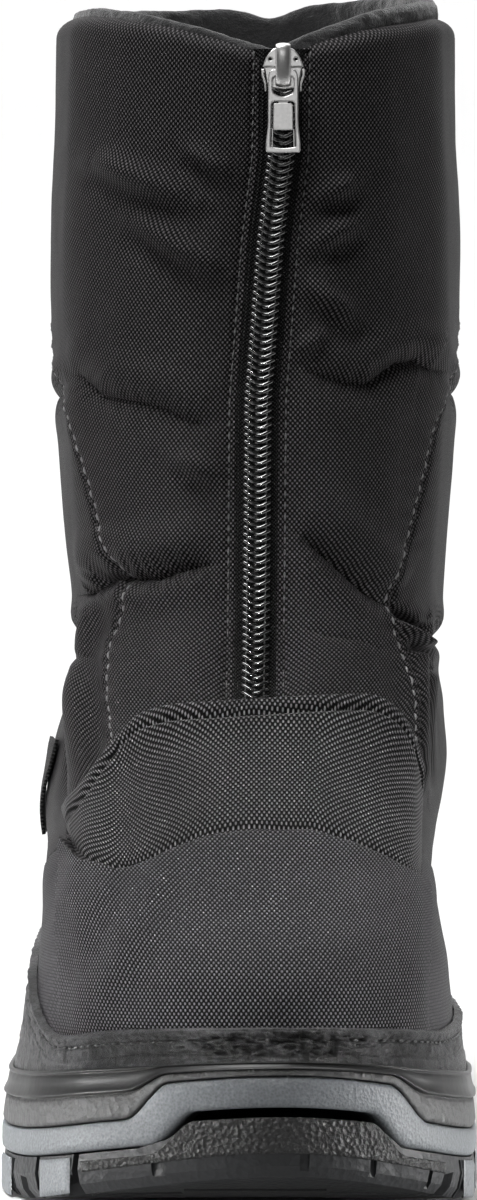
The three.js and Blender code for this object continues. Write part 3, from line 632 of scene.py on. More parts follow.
# gathered folds round the sides and back, by girth from the front, and height
backFolds = [
    *foldForm(2.4, 5.0, 6.0, 0.9, 0.3, 0.2,
              [(60, 203.5), (90, 197), (130, 200), (170, 194), (200, 196)],
              [(-54, 203), (-62, 201), (-95, 196), (-135, 201), (-175, 195), (-200, 196)]),
    *foldForm(3.4, 5.5, 4.0, 1.2, 0.9, 0.35,
              [(60, 136), (85, 133), (120, 130), (160, 133), (200, 131)],
              [(-54, 143), (-62, 140), (-85, 134), (-125, 130), (-165, 134), (-200, 131)]),
    *foldForm(1.2, 5.0, 6.0, 0.4, 0.2, 0.1,
              [(105, 160), (150, 154), (195, 157)],
              [(-105, 158), (-150, 153), (-195, 157)]),
    *foldForm(1.1, 6.0, 7.0, 0.4, 0.2, 0.1,
              [(115, 246), (160, 240), (198, 244)],
              [(-115, 243), (-160, 239), (-198, 244)]),
]
lowerPanel = {"z": 127, "height": 3.5, "reach": 12}   # the panel below the lowest fold swells toward the pad
# slack of the padding: its seed, heights and cells; the pleats' pitch; the ridges' strength
cloth = {"seed": 3, "slack": ((0.75, 30.0), (0.2, 12.0), (0.05, 5.0)), "pleatPitch": 3.9, "ridge": 2.4}


def seamGirth(z):
    # girth of the lap seam on each side at a height: across the front low down, round the side higher up
    lowOuter = np.interp(z, panels["seamZ"], seamOuterGirth)
    lowInner = np.interp(z, panels["seamZ"], seamInnerGirth)
    climb = smooth(z, 188, 232)
    return mix(lowOuter, -panels["sideGirth"], climb), mix(lowInner, panels["sideGirth"], climb)


seamOuterGirth = girth(frontPlace(panels["seamOuterX"], panels["seamZ"])[0])
seamInnerGirth = girth(frontPlace(panels["seamInnerX"], panels["seamZ"])[0])

# outline of the instep pad: its top and low edges from the outer side to the big-toe side
pad = {
    "topX": [-45.5, -38.7, -31, -22.7, -14, -5, 5, 18, 30, 38, 44, 47.5],
    "topZ": [91, 97.5, 105.5, 113.4, 115.8, 116.5, 117.2, 118, 118.3, 115.4, 107.5, 98],
    "lowX": [-43.5, -38, -30, -22, -14, -6, 5, 17, 28, 36, 42, 45.6],
    "lowZ": [87, 81.9, 80, 82.6, 86.1, 88.4, 89.5, 89.5, 86.5, 83.1, 79.7, 77.8],
}


def clothShape(u, points):
    # how far the padded cloth stands off the skin: folds, rolls, puckers, lap seams and slack
    x, y, z = points.T
    around = girth(u)
    flat = np.stack([x, z], axis=1)
    wrapped = np.stack([around, z], axis=1)
    front = smooth(-np.abs(around), -82, -62) * (y < 60)
    rise = sum(height * valueNoise(points, cell, cloth["seed"] + i)
               for i, (height, cell) in enumerate(cloth["slack"]))
    for group, where, mask in ((folds, flat, front), (backFolds, wrapped, 1 - 0.85 * front)):
        for fold in group:
            d, share, side = lineDistance(where, fold["line"])
            line = np.array(fold["line"], float)
            under = side < 0 if line[-1][0] > line[0][0] else side > 0
            reach = np.where(under, fold["below"], fold["above"])
            q = 1 - np.clip(d / reach, 0, 1)
            cleft = -fold["depth"] * (1 - np.sqrt(1 - q * q))
            puff = np.where(under, fold["roll"], fold["bulge"]) * bell(d / reach - 1.1, 0.7)
            run = np.linalg.norm(np.diff(line, axis=0), axis=1).sum()
            ends = np.clip(np.minimum(share, 1 - share) * run / np.minimum(10, 0.3 * run), 0, 1) ** 0.7
            comb = np.sin(share * run * 2 * np.pi / cloth["pleatPitch"]
                          + 2.6 * valueNoise(where, 7.0, cloth["seed"] + 5))
            pleats = fold["pleat"] * comb * bell(d - 1.5, np.where(under, 3.0, 4.5))
            rise += mask * ends * (cleft + puff + pleats)
    for height, width, line in ridges:
        d, share, side = lineDistance(flat, line)
        ends = np.sin(np.pi * np.clip(share, 0.02, 0.98)) ** 0.5
        above = d * np.where(line[-1][0] > line[0][0], side, -side) / width
        swell = bell(above, 1) - 0.5 * bell(above + 1.5, 1)
        rise += front * ends * cloth["ridge"] * height * swell
    rise += lowerPanel["height"] * front * bell(z - lowerPanel["z"], lowerPanel["reach"])
    outer, inner = seamGirth(z)
    inside = np.minimum(around - outer, inner - around)
    live = smooth(z, 92, 100)
    rise += live * panels["step"] * (smooth(inside, -0.2, 0.9) - 0.5)
    rise -= live * panels["shadow"] * bell(inside + 0.9, 1.1)
    rise -= live * panels["groove"] * bell(inside - panels["stitchAt"], 0.7)
    waves = np.sin(z * 2 * np.pi / panels["puckerPitch"] + 1.5 * valueNoise(wrapped, 14, cloth["seed"] + 7))
    rise += live * panels["pucker"] * waves * bell(inside, 6)
    return rise


# the panels' turned edges beside the zip
zipEdge = {"width": 5.1, "sink": 1.5, "reach": 7.0, "groove": 0.6, "stitch": 2.4, "stitchPitch": 3.0,
           "bead": 0.35, "turn": 2.4}


def zipEdges(level):
    # stations of the zip opening's two edges at each level, the big-toe side first
    found = []
    for side in (1, -1):
        def past(turn):
            at = skinPoint(turn, level)
            return at[:, 0] <= zipX(at[:, 2]) + side * zipEdge["width"]
        found.append(halved(np.full(level.size, 0.3), np.full(level.size, 0.7), past, 24))
    return found


shellGrid = {"columns": 370, "shaftRows": 232, "footRows": 205, "split": 6.6, "low": -0.45, "top": 12.87,
             "rollRows": 9, "rollHeight": 0.092, "rollDepth": 4.6, "foldHeights": (150, 200),
             "foldSpread": 11, "foldRows": 1.3}


def packedRows(low, high, count):
    # rows crowd together where the gathered folds are
    fine = np.linspace(low, high, 400)
    height = skinPoint(0.47, fine)[:, 2]
    crowd = sum(bell(height - z, shellGrid["foldSpread"]) for z in shellGrid["foldHeights"])
    weight = 1 + shellGrid["foldRows"] * crowd
    run = np.concatenate([[0], np.cumsum((weight[1:] + weight[:-1]) / 2)])
    return np.interp(np.linspace(0, run[-1], count), run, fine)


def shellStations(levels, columns):
    t = np.linspace(0, 1, columns)
    c = t - 0.4 * np.sin(2 * np.pi * t) / (2 * np.pi)
    edgeInner, edgeOuter = zipEdges(np.maximum(levels, shellGrid["split"]))
    opened = smooth(levels, 5.2, shellGrid["split"])
    edgeInner, edgeOuter = mix(0.4999, edgeInner, opened), mix(0.5001, edgeOuter, opened)
    span = edgeInner + 1 - edgeOuter
    return edgeInner[:, None] - c[None, :] * span[:, None]


# the vamp's seam down the sides, its lip where it laps the pad, and how deep the shell goes under the pad
vampSeam = {"z": [40, 50, 60, 70, 80, 88, 96], "s": [150, 152, 160, 172, 186, 197, 200],
            "lipRise": 3.3, "lip": 3.4, "lipRun": 13, "lipEdge": 0.8, "underPad": 4.0, "step": 0.5}


def vampShare(points):
    # how far points lie inside the vamp and past its lap over the pad, and if they lie between its sides
    s = toY(points[:, 1])
    seamS = np.interp(points[:, 2], vampSeam["z"], vampSeam["s"])
    edgeZ = np.array(pad["lowZ"]) - vampSeam["lipRise"]
    d, share, side = lineDistance(points[:, [0, 2]], list(zip(pad["lowX"], edgeZ)))
    between = (points[:, 0] > pad["lowX"][0]) & (points[:, 0] < pad["lowX"][-1])
    lap = np.where(side < 0, d, -d)
    fromSeam = s - seamS
    inside = np.where(between & (points[:, 1] < 20), np.minimum(lap, fromSeam), fromSeam)
    return inside, lap, between


def besideZip(u, base):
    # how far the panels beside the zip sink, and the groove of the stitch row along their turned edges
    width = np.abs(base[:, 0] - zipX(base[:, 2])) - zipEdge["width"]
    near = 1 - smooth(np.abs(girth(u)), 26, 42)
    dip = -zipEdge["sink"] * bell(np.maximum(width, 0), zipEdge["reach"])
    pucker = 1 + 0.5 * np.sin(base[:, 2] * 2 * np.pi / zipEdge["stitchPitch"])
    dip -= zipEdge["groove"] * pucker * bell(width - zipEdge["stitch"], 0.7)
    dip += zipEdge["bead"] * bell(width - 0.7, 0.6)
    dip -= zipEdge["turn"] * (1 - smooth(width, -0.2, 0.9))
    return dip * near, mix(1.0, smooth(width, -1, 12), near)


def shapeShaft(u, base):
    dip, keep = besideZip(u, base)
    return clothShape(u, base) * keep + dip


def shapeFoot(u, base):
    rise = clothShape(u, base)
    inside, lap, between = vampShare(base)
    front = np.abs(girth(u)) < 110
    onVamp = smooth(inside, -1, 1.5) * front
    quiet = 0.3 * rise + 0.12 * valueNoise(base, 9.0, 44)
    rise = mix(rise * (0.6 + 0.4 * smooth(base[:, 2], 70, 110)), quiet, onVamp)
    lip = vampSeam["lip"] * bell(lap, np.where(lap > 0, vampSeam["lipRun"], vampSeam["lipEdge"]))
    rise += np.where(front & between & (np.abs(lap) < 40), lip, 0)
    toTop, _, topSide = lineDistance(base[:, [0, 2]], list(zip(pad["topX"], pad["topZ"])))
    underPad = smooth(-lap, 0.3, 2.2) * smooth(np.where(topSide < 0, toTop, -toTop), 0.5, 3.0)
    rise -= vampSeam["underPad"] * underPad * (front & between)
    step = vampSeam["step"]
    seam = step * smooth(inside, -0.3, 0.8) * (1 - smooth(inside, 12, 40)) - step * bell(inside, 0.9)
    return rise + front * seam * np.where(between, 1 - smooth(base[:, 2], 55, 78), 1.0)


def buildShell(name, levels, shape, inward=None, closed=False, upStart=0.0):
    columns, rows = shellGrid["columns"], len(levels)
    u = shellStations(levels, columns).ravel()
    level = np.repeat(levels, columns)
    base, normal = skin(u, level)
    rise = shape(u, base)
    if inward is not None:
        keep = 1 - smooth(inward, 0, shellGrid["rollDepth"]) * 0.8
        rise = rise * np.repeat(keep, columns) - np.repeat(inward, columns)
    points = base + normal * rise[:, None]
    faces = gridFaces(rows, columns, closeColumns=closed, flip=True)
    uv = gridUv(base, rows, columns, fromFront=True, laid=closed)
    uv[:, 1] += np.tile(np.broadcast_to(upStart, (columns,)), rows)
    made = makeObject(name, points, faces, uv)
    return made, base, faces, uv.reshape(rows, columns, 2)[-1, :, 1]


footLevels = np.linspace(shellGrid["low"], shellGrid["split"], shellGrid["footRows"])
footShell, footBase, footFaces, footTop = buildShell("foot_shell", footLevels, shapeFoot, closed=True)
footMiddles = footBase[footFaces].mean(axis=1)
onVamp = (vampShare(footMiddles)[0] > 0) & (footMiddles[:, 1] < 40)
footShell.data.polygons.foreach_set("material_index", onVamp.astype(np.int32))
finishPiece(footShell, "boot", [shellCloth, vampClothTopLit], replaced="upper")

rollTurn = np.linspace(0, np.pi / 2, shellGrid["rollRows"])
shaftLevels = packedRows(shellGrid["split"], shellGrid["top"], shellGrid["shaftRows"])
deep, high = shellGrid["rollDepth"], shellGrid["rollHeight"]
shaftInward = np.concatenate([np.zeros(shellGrid["shaftRows"]), deep * (1 - np.cos(rollTurn[1:])),
                              [deep + 0.6]])
shaftLevels = np.concatenate([shaftLevels, shellGrid["top"] + high * np.sin(rollTurn[1:]),
                              [shellGrid["top"] + 0.5 * high]])
shaftShell = buildShell("shaft_shell", shaftLevels, shapeShaft, shaftInward, upStart=footTop)[0]
finishPiece(shaftShell, "boot", shellCloth, replaced="upper")
print("shell made")

# a blank cloth tag sewn to the outer side
tagShape = {"s": (98, 122), "z": (82, 106), "out": 1.1, "thick": 0.9, "rows": 14, "columns": 16}


def buildTag():
    rows, columns = tagShape["rows"], tagShape["columns"]
    s, z = np.meshgrid(np.linspace(*tagShape["s"], columns), np.linspace(*tagShape["z"], rows))
    back = np.interp(z.ravel(), sections["backZ"], sections["backS"])
    front = np.interp(z.ravel(), sections["frontZ"], sections["frontS"])
    share = (s.ravel() - back) / (front - back)
    u = 1 - np.arccos(1 - 2 * share) / (2 * np.pi)
    level = levelAt(u, z.ravel())
    base, normal = skin(u, level)
    points = base + normal * (shapeFoot(u, base) + tagShape["out"])[:, None]
    made = makeObject("side_tag", points, gridFaces(rows, columns), gridUv(points, rows, columns))
    solid = made.modifiers.new("thickness", "SOLIDIFY")
    solid.thickness, solid.offset = tagShape["thick"] * mm, 0
    return made


# the tag is given the tape's cloth, darkened with painted shade
finishPiece(buildTag(), "boot", tapeClothShaded)

# the instep pad
padShape = {"columns": 230, "rows": 120, "fill": 4.6, "edge": 3.4, "lip": 1.5, "stand": 2.7, "turnIn": -2.0,
            "gathers": 30, "gather": 0.12, "groove": 0.6, "bead": 0.2, "slack": 0.2, "under": -0.17}


def buildPad():
    columns, rows = padShape["columns"], padShape["rows"]
    a = np.linspace(0, 1, columns)
    key = np.linspace(0, 1, len(pad["topX"]))
    top = np.stack([curve(key, pad["topX"], a), curve(key, pad["topZ"], a)], 1)
    low = np.stack([curve(key, pad["lowX"], a), curve(key, pad["lowZ"], a)], 1)
    b = np.linspace(padShape["under"], 1, rows)   # the lowest rows lie under the edge of the vamp
    x = mix(low[None, :, 0], top[None, :, 0], b[:, None])
    z = mix(low[None, :, 1], top[None, :, 1], b[:, None])
    u, level = frontPlace(x.ravel(), z.ravel())
    base, normal = skin(u, level)
    span = np.repeat(b, columns)
    across = np.tile(a, rows)
    height = np.tile(np.linalg.norm(top - low, axis=1), rows)
    fromTop = (1 - span) * height
    ends = np.minimum(across, 1 - across) * 95
    body = padShape["fill"] * np.sqrt(np.clip(1 - ((span - 0.53) / 0.56) ** 2, 0, 1))
    body *= 0.2 + 0.8 * smooth(ends, 0, 20)
    # a flat turned edge along the top, then a stitched groove with small gathers, then the filled panel
    edge = padShape["edge"]
    flat = padShape["lip"] * np.sqrt(np.clip(1 - ((fromTop - 0.5 * edge) / (0.56 * edge)) ** 4, 0, 1))
    rise = mix(flat, body, smooth(fromTop, edge - 0.5, edge + 3.2))
    waves = np.sin(across * 2 * np.pi * padShape["gathers"] + 2 * valueNoise(base, 9.0, 22))
    gather = 1 + padShape["gather"] * waves
    rise -= padShape["groove"] * gather * bell(fromTop - edge, 0.75) * smooth(ends, 2, 9)
    bead = padShape["bead"] * gather * bell(fromTop - edge - 3, 1.8)
    rise += bead + padShape["slack"] * valueNoise(base, 12.0, 21)
    rise *= smooth(ends, -0.5, 4.0)
    rise += 0.5 + padShape["stand"] * smooth(span, 0.55, 0.95) * smooth(ends, 4, 22)
    rise[(span == 1) | (across == 0) | (across == 1)] = padShape["turnIn"]   # the border goes into the shell
    points = base + normal * rise[:, None]
    uv = gridUv(base, rows, columns)
    middleRow = uv.reshape(rows, columns, 2)[rows // 2, :, 0]
    uv[:, 0] = np.tile(middleRow, rows)   # the weave's columns stand upright
    return makeObject("instep_pad_cover", points, gridFaces(rows, columns), uv)


finishPiece(buildPad(), "boot", padClothTopLit, replaced="instep_pad")
print("pad made")

# the suede mudguard: its top edge on each side, along the sole
guard = {
    "s": [-5, 20, 50, 85, 120, 150, 180, 205, 225, 245, 262, 285, 306],
    "outerTop": [88, 87, 81, 69, 62, 62, 62, 60, 56, 48, 42.5, 46, 48.5],
    "innerTop": [88, 87, 81, 69, 61, 57, 50, 46.5, 44.5, 43.5, 43.5, 46, 48.5],
    "columns": 900, "rows": 56, "thick": 2.0, "skirt": 7.0, "stitchRows": (3.0, 6.6), "rowGroove": 0.55,
    "bead": 0.45, "turn": 1.7, "crinkle": 0.95, "nap": ((0.26, 2.0, 33), (0.2, 1.0, 34)), "pucker": 0.16,
}


def guardTops(u):
    s = toY(skinPoint(u, -1.0)[:, 1])
    medial, _ = station(u)
    outer, inner = (curve(guard["s"], guard[name], s) for name in ("outerTop", "innerTop"))
    return levelAt(u, np.where(medial, inner, outer))


def rimLine(u):
    # the line where the suede meets the rim of the sole cup
    x, s = soleLoop(u, sideTaper(u) + 0.9)
    return np.stack([x, toY(s), cupTop(s) + 0.35], axis=1)


def buildGuard():
    columns, rows = guard["columns"], guard["rows"]
    stations = np.arange(columns) / columns
    tops = guardTops(stations)
    share = 1 - (1 - np.linspace(0, 1, rows)) ** 1.4
    level = -0.98 + (tops[None, :] + 0.98) * share[:, None]
    u = np.tile(stations, rows)
    base, normal = skin(u, level.ravel())
    topBase = np.tile(skin(stations, tops)[0], (rows, 1))
    fromTop = np.linalg.norm(topBase - base, axis=1)
    rise = guard["thick"] + guard["bead"] * bell(fromTop - 1.1, 1.0)
    rise -= guard["turn"] * (1 - smooth(fromTop, 0, 0.9))
    for row in guard["stitchRows"]:
        rise -= guard["rowGroove"] * bell(fromTop - row, 0.45)
    toe = smooth(-np.abs(base[:, 0] - 8), -38, -10) * smooth(-base[:, 1], 118, 134)
    crinkle = 1 - 2.4 * np.abs(valueNoise(base * np.array([0.8, 1, 2.0]), 2.4, 31))
    crinkle += 0.6 - 1.4 * np.abs(valueNoise(base * np.array([0.8, 1, 1.8]), 1.2, 32))
    rise += guard["crinkle"] * crinkle * toe * smooth(fromTop, 0.8, 2.2)
    rise += sum(height * valueNoise(base, cell, seed) for height, cell, seed in guard["nap"])
    rise += guard["pucker"] * np.sin(u * 2 * np.pi * 95) * bell(fromTop - 4.6, 2.4)
    points = base + normal * rise[:, None]
    # the skirt swells out until it lies on the rim
    rim = np.tile(rimLine(stations), (rows, 1))
    above = np.clip((points[:, 2] - rim[:, 2]) / guard["skirt"], 0, 1)
    pull = (1 - above) ** 2
    outward = (rim - points)[:, :2] * pull[:, None]
    points[:, :2] += outward
    points[:columns, 2] = rim[:columns, 2] - 0.5
    points[:, 2] = np.maximum(points[:, 2], rim[:, 2] - 0.5)
    return makeObject("suede_mudguard", points, gridFaces(rows, columns, closeColumns=True))


finishPiece(buildGuard(), "boot", suede, replaced="mudguard")
print("mudguard made")


# stitches: short rounded threads laid in rows; out is how far they stand off the row's points,
# and top is how far past the coil's upper end a row goes
threads = {
    "seam": {"pitch": 3.4, "length": 2.4, "radius": 0.34, "sink": 0.8, "out": 0.12},
    "guard": {"pitch": 3.0, "length": 2.2, "radius": 0.32, "sink": 0.8, "out": -0.2},
    "coil": {"pitch": 0.92, "length": 0.85, "radius": 0.2, "sink": 0.0, "out": 0.5, "top": 0},
    "edge": {"pitch": 3.0, "length": 2.0, "radius": 0.24, "sink": 0.9, "out": -1.55, "top": 8},
    "sides": 6, "rings": 5,
}


def buildStitches(name, rows, look):
    # rows are the points and normals along which the threads lie
    parts = [threadLine(places, normals, look["pitch"], look["length"]) for places, normals in rows]
    spots, directions, normals = (np.concatenate(part) for part in zip(*parts))
    length, radius, sink = look["length"], look["radius"], look["sink"]
    sides, rings = threads["sides"], threads["rings"]
    ringAt = np.linspace(-1, 1, rings)
    ringSize = np.sqrt(np.clip(1 - ringAt**2 * 0.92, 0, 1))
    points, faces = [], []
    for place, forward, normal in zip(spots, directions, normals):
        forward = forward / np.linalg.norm(forward)
        side = np.cross(normal, forward)
        start = len(points)
        for t, size in zip(ringAt, ringSize):
            for k in range(sides):
                a = 2 * np.pi * k / sides
                points.append(place + forward * t * length / 2 + side * math.cos(a) * radius * size
                              + normal * (math.sin(a) * radius * size - sink * t * t * radius))
        for r in range(rings - 1):
            for k in range(sides):
                k2 = (k + 1) % sides
                faces.append([start + r * sides + k, start + r * sides + k2, start + (r + 1) * sides + k2,
                              start + (r + 1) * sides + k])
        faces.append([start + k for k in reversed(range(sides))])
        faces.append([start + (rings - 1) * sides + k for k in range(sides)])
    return makeObject(name, np.array(points), faces)


def threadLine(places, normals, pitch, length):
    # even stitches along a row of points: their middles, directions and normals
    steps = np.linalg.norm(np.diff(places, axis=0), axis=1)
    run = np.concatenate([[0], np.cumsum(steps)])
    at = np.arange(pitch / 2, run[-1], pitch)

    def pick(values, where):
        return np.stack([np.interp(where, run, values[:, i]) for i in range(3)], 1)

    spots = pick(places, at)
    forward = pick(places, at + length / 2) - pick(places, at - length / 2)
    across = pick(normals, at)
    return spots, forward, across / np.linalg.norm(across, axis=1, keepdims=True)


def seamRows():
    rows = []
    for side, index in ((-1, 0), (1, 1)):
        z = np.linspace(101, 296, 400)
        around = seamGirth(z)[index] - side * panels["stitchAt"]
        u = np.interp(-around, -refArc, refU)
        level = levelAt(u, z)
        base, normal = skin(u, level)
        rise = clothShape(u, base)
        rows.append((base + normal * (rise + threads["seam"]["out"])[:, None], normal))
    return rows


def guardRows():
    rows = []
    u = np.linspace(0, 1, 900)
    tops = guardTops(u)
    topPoint = skin(u, tops)[0]
    for drop in guard["stitchRows"]:
        level = levelAt(u, topPoint[:, 2] - drop * 0.97)
        base, normal = skin(u, level)
        rows.append((base + normal * (guard["thick"] + threads["guard"]["out"]), normal))
    return rows


seamStitches = buildStitches("seam_stitches", seamRows(), threads["seam"])
finishPiece(seamStitches, "boot", threadLight)
guardStitches = buildStitches("mudguard_stitches", guardRows(), threads["guard"])
finishPiece(guardStitches, "boot", threadDark)
print("stitches made")

# the zip
zipShape = {"pitch": 1.84, "loopOuter": 3.6, "loopInner": -0.7, "loopRise": 1.15, "turns": 15, "wire": 0.56,
            "dropLeft": 1.5, "dropRight": 1.1, "low": 112.0, "top": 287.0, "coilTop": 279.0,
            "tapeHalf": 7.6, "tapeColumns": 61, "tapeRows": 240, "tapeDepth": -1.75, "threadAt": 2.35,
            "stitchAt": 7.5}


def zipPlace(z, x, out):
    z, x, out = flattened(z, x, out)
    u, level = frontPlace(zipX(z) + x, z)
    return skin(u, level, out)


def buildTape():
    rows, columns = zipShape["tapeRows"], zipShape["tapeColumns"]
    z, x = np.meshgrid(np.linspace(zipShape["low"], zipShape["top"], rows),
                       np.linspace(-zipShape["tapeHalf"], zipShape["tapeHalf"], columns), indexing="ij")
    side = np.abs(x)
    out = zipShape["tapeDepth"] + 0.35 * bell(side - 4.9, 0.45) - 0.8 * smooth(side, 5.6, 7.4)
    points, _ = zipPlace(z.ravel(), x.ravel(), out.ravel())
    return makeObject("zip_tape_cloth", points, gridFaces(rows, columns, flip=True),
                      gridUv(points, rows, columns))


def tube(path, normals, radius, sides=8, flatten=1.0):
    # points and faces of a closed-ended tube along a path
    path = np.asarray(path, float)
    forward = np.gradient(path, axis=0)
    forward /= np.linalg.norm(forward, axis=1, keepdims=True)
    side = np.cross(normals, forward)
    side /= np.linalg.norm(side, axis=1, keepdims=True)
    lift = np.cross(forward, side)
    angles = 2 * np.pi * np.arange(sides) / sides
    radius = np.broadcast_to(radius, (len(path),))
    ring = (path[:, None, :] + side[:, None, :] * (np.cos(angles)[None, :, None] * radius[:, None, None])
            + lift[:, None, :] * (np.sin(angles)[None, :, None] * radius[:, None, None] * flatten))
    points = ring.reshape(-1, 3)
    faces = gridFaces(len(path), sides, closeColumns=True).tolist()
    faces.append(list(range(sides))[::-1])
    faces.append([(len(path) - 1) * sides + k for k in range(sides)])
    return points, faces


def joinParts(parts):
    points, faces, start = [], [], 0
    for p, f in parts:
        points.append(p)
        faces += [[i + start for i in face] for face in f]
        start += len(p)
    return np.concatenate(points), faces


def buildCoil():
    # each side's loops start low at the tape, climb over the middle and end just past it, half a pitch apart
    turns, pitch = zipShape["turns"], zipShape["pitch"]
    t = np.linspace(0, 1, turns)
    places = []
    for side in (1, -1):
        drop = zipShape["dropRight"] if side > 0 else zipShape["dropLeft"]
        for z in np.arange(zipShape["low"], zipShape["coilTop"], pitch) + (side < 0) * pitch / 2:
            across = mix(zipShape["loopOuter"], zipShape["loopInner"], t)
            rise = -0.75 + zipShape["loopRise"] * np.sin(np.pi * np.clip(0.08 + 0.8 * t, 0, 1)) ** 0.6
            places.append((z + drop * (0.5 - smooth(t, 0, 0.72)), side * across, rise))
    heights, across, rise = (np.concatenate([place[i] for place in places]) for i in range(3))
    points, normals = zipPlace(heights, across, rise)
    radius = zipShape["wire"] * np.sqrt(np.clip(1 - np.abs(2 * t - 1) ** 9 * 0.6, 0, 1))
    parts = [tube(points[k:k + turns], normals[k:k + turns], radius) for k in range(0, len(points), turns)]
    return makeObject("zip_coil", *joinParts(parts))


def zipRows(offset, look):
    z = np.linspace(zipShape["low"] + 6, zipShape["coilTop"] + look["top"], 500)
    return [zipPlace(z, side * offset, look["out"]) for side in (1, -1)]


finishPiece(buildTape(), "boot", tapeClothShaded, replaced="zip_tape")
finishPiece(buildCoil(), "boot", coilPlastic)
coilRows = zipRows(zipShape["threadAt"], threads["coil"])
coilThreads = buildStitches("zip_threads", coilRows, threads["coil"])
finishPiece(coilThreads, "boot", threadDark)
edgeRows = zipRows(zipShape["stitchAt"], threads["edge"])
edgeThreads = buildStitches("zip_edge_stitches", edgeRows, threads["edge"])
finishPiece(edgeThreads, "boot", threadSoft)
print("zip made")

# sole cup and grey band, as closed stacks of rings round the sole
soleGrid = {"columns": 640, "bumperColumns": 240, "bumperRows": 34, "capColumns": 22, "capRows": 14}
# rings of the cup: share of the height, share of the taper, extra inset, finish (0 grained, 1 smooth)
cupRings = [(0.0, 0.0, 6.0, 0), (0.0, 0.0, 0.9, 0), (0.03, 0.05, 0.35, 0), (0.08, 0.1, 0.1, 0),
            (0.2, 0.2, 0.1, 0), (0.34, 0.34, 0.1, 0), (0.43, 0.42, 0.15, 0), (0.47, 0.45, 0.35, 0),
            (0.495, 0.48, 0.85, 0), (0.51, 0.5, 0.85, 1), (0.52, 0.5, 0.1, 1), (0.54, 0.52, -0.5, 1),
            (0.56, 0.54, -0.55, 1), (0.6, 0.58, -0.25, 1), (0.66, 0.66, -0.05, 1), (0.76, 0.78, 0.1, 1),
            (0.86, 0.9, 0.1, 1), (0.9, 0.94, 0.35, 1), (0.915, 0.95, 0.5, 1), (0.93, 0.96, 0.3, 1),
            (0.945, 0.97, -0.1, 1), (0.97, 0.98, -0.15, 1), (0.99, 1.0, 0.15, 1), (1.0, 1.0, 0.6, 1),
            (0.99, 1.0, 1.2, 1), (0.93, 1.0, 1.5, 1), (0.6, 1.0, 1.7, 1)]
# rings of the grey band: share of the height, inset
bandRings = [(0.0, 8.0), (0.0, 1.2), (0.03, 0.55), (0.12, 0.12), (0.3, 0.0), (0.5, 0.05), (0.7, 0.05),
             (0.88, 0.15), (0.97, 0.55), (1.0, 1.2), (1.0, 8.0)]
ringU = np.arange(soleGrid["columns"]) / soleGrid["columns"]
ringX, ringS = soleEdge(ringU)


def ringPoints(u, inset, bottom, top, share):
    x, s = soleLoop(u, inset)
    return np.stack([x, toY(s), mix(bottom, top, share)], 1)


def buildRings(name, rings, bottom, top):
    points = np.concatenate([ringPoints(ringU, inset, bottom, top, share) for share, inset in rings])
    return makeObject(name, points, gridFaces(len(rings), len(ringU), closeColumns=True, closeRows=True))


def buildCup():
    taper = sideTaper(ringU)
    made = buildRings("cup_wall", [(height, taper * share + inset) for height, share, inset, _ in cupRings],
                      greyTop(ringS, ringX) + 0.3, cupTop(ringS))
    finish = np.repeat([ring[3] for ring in cupRings], len(ringU))
    made.data.polygons.foreach_set("material_index", finish.astype(np.int32))
    return made


finishPiece(buildCup(), "boot", [cupGrained, cupSmooth], replaced="sole_cup")
greyBand = buildRings("grey_band", bandRings, greyBottom(ringS, ringX), greyTop(ringS, ringX))
finishPiece(greyBand, "boot", soleGrey, replaced="midsole_band")

outsoleEdge = {"weld": 1e-5, "width": 0.0005, "segments": 2, "angle": 40}
outsole = cadNodes["outsole"]
outsole.data.materials.clear()
outsole.data.materials.append(soleBlack)
weld = outsole.modifiers.new("weld", "WELD")
weld.merge_threshold = outsoleEdge["weld"]
edge = outsole.modifiers.new("edge", "BEVEL")
edge.width, edge.segments = outsoleEdge["width"], outsoleEdge["segments"]
edge.limit_method, edge.angle_limit = "ANGLE", math.radians(outsoleEdge["angle"])
outsole.data.polygons.foreach_set("use_smooth", [False] * len(outsole.data.polygons))

# the rough bumper set into the toe of the outsole, by x, and the grey caps of some lugs
bumper = {"from": -38.0, "to": 50.0, "low": 4.6, "under": 2.2, "proud": 0.55, "rough": 0.26}
lugShape = {"proud": 0.5, "low": 2.2, "under": 1.1,
            "outerSide": [(262.5, 275.5), (222.5, 238.5), (186.5, 198.5)],   # from and to along the sole
            "bigToeSide": [(248.5, 262.5), (208.5, 224.5), (190.5, 204.5)]}


def stationOf(side, s):
    # the station of a place along the sole on one side: 1 big-toe side, -1 outer side
    turn = math.acos(1 - 2 * s / last["length"]) / math.pi / 2
    return turn if side > 0 else 1 - turn


def solePatch(us, lows, highs, proud, rows, rough=0.0):
    # a thin skin over the outsole's wall with rounded edges
    columns = len(us)
    share = np.linspace(0, 1, rows)
    points = []
    for v in share:
        rounded = min(1.0, 6 * v, 6 * (1 - v))
        ends = np.clip(np.minimum(np.arange(columns), np.arange(columns)[::-1]) / 3, 0, 1)
        out = proud * np.sqrt(np.clip(1 - (1 - rounded) ** 2, 0, 1)) * np.sqrt(1 - (1 - ends) ** 2) - 0.25
        points.append(ringPoints(us, -out, lows, highs, v))
    points = np.concatenate(points)
    if rough:
        inner = np.repeat(np.minimum(share, 1 - share) > 0.04, columns)
        bumps = 0.5 * valueNoise(points, 1.0, 71) + 0.5 * valueNoise(points, 0.6, 72)
        points[:, 1] -= rough * bumps * inner
    return points, gridFaces(rows, columns)


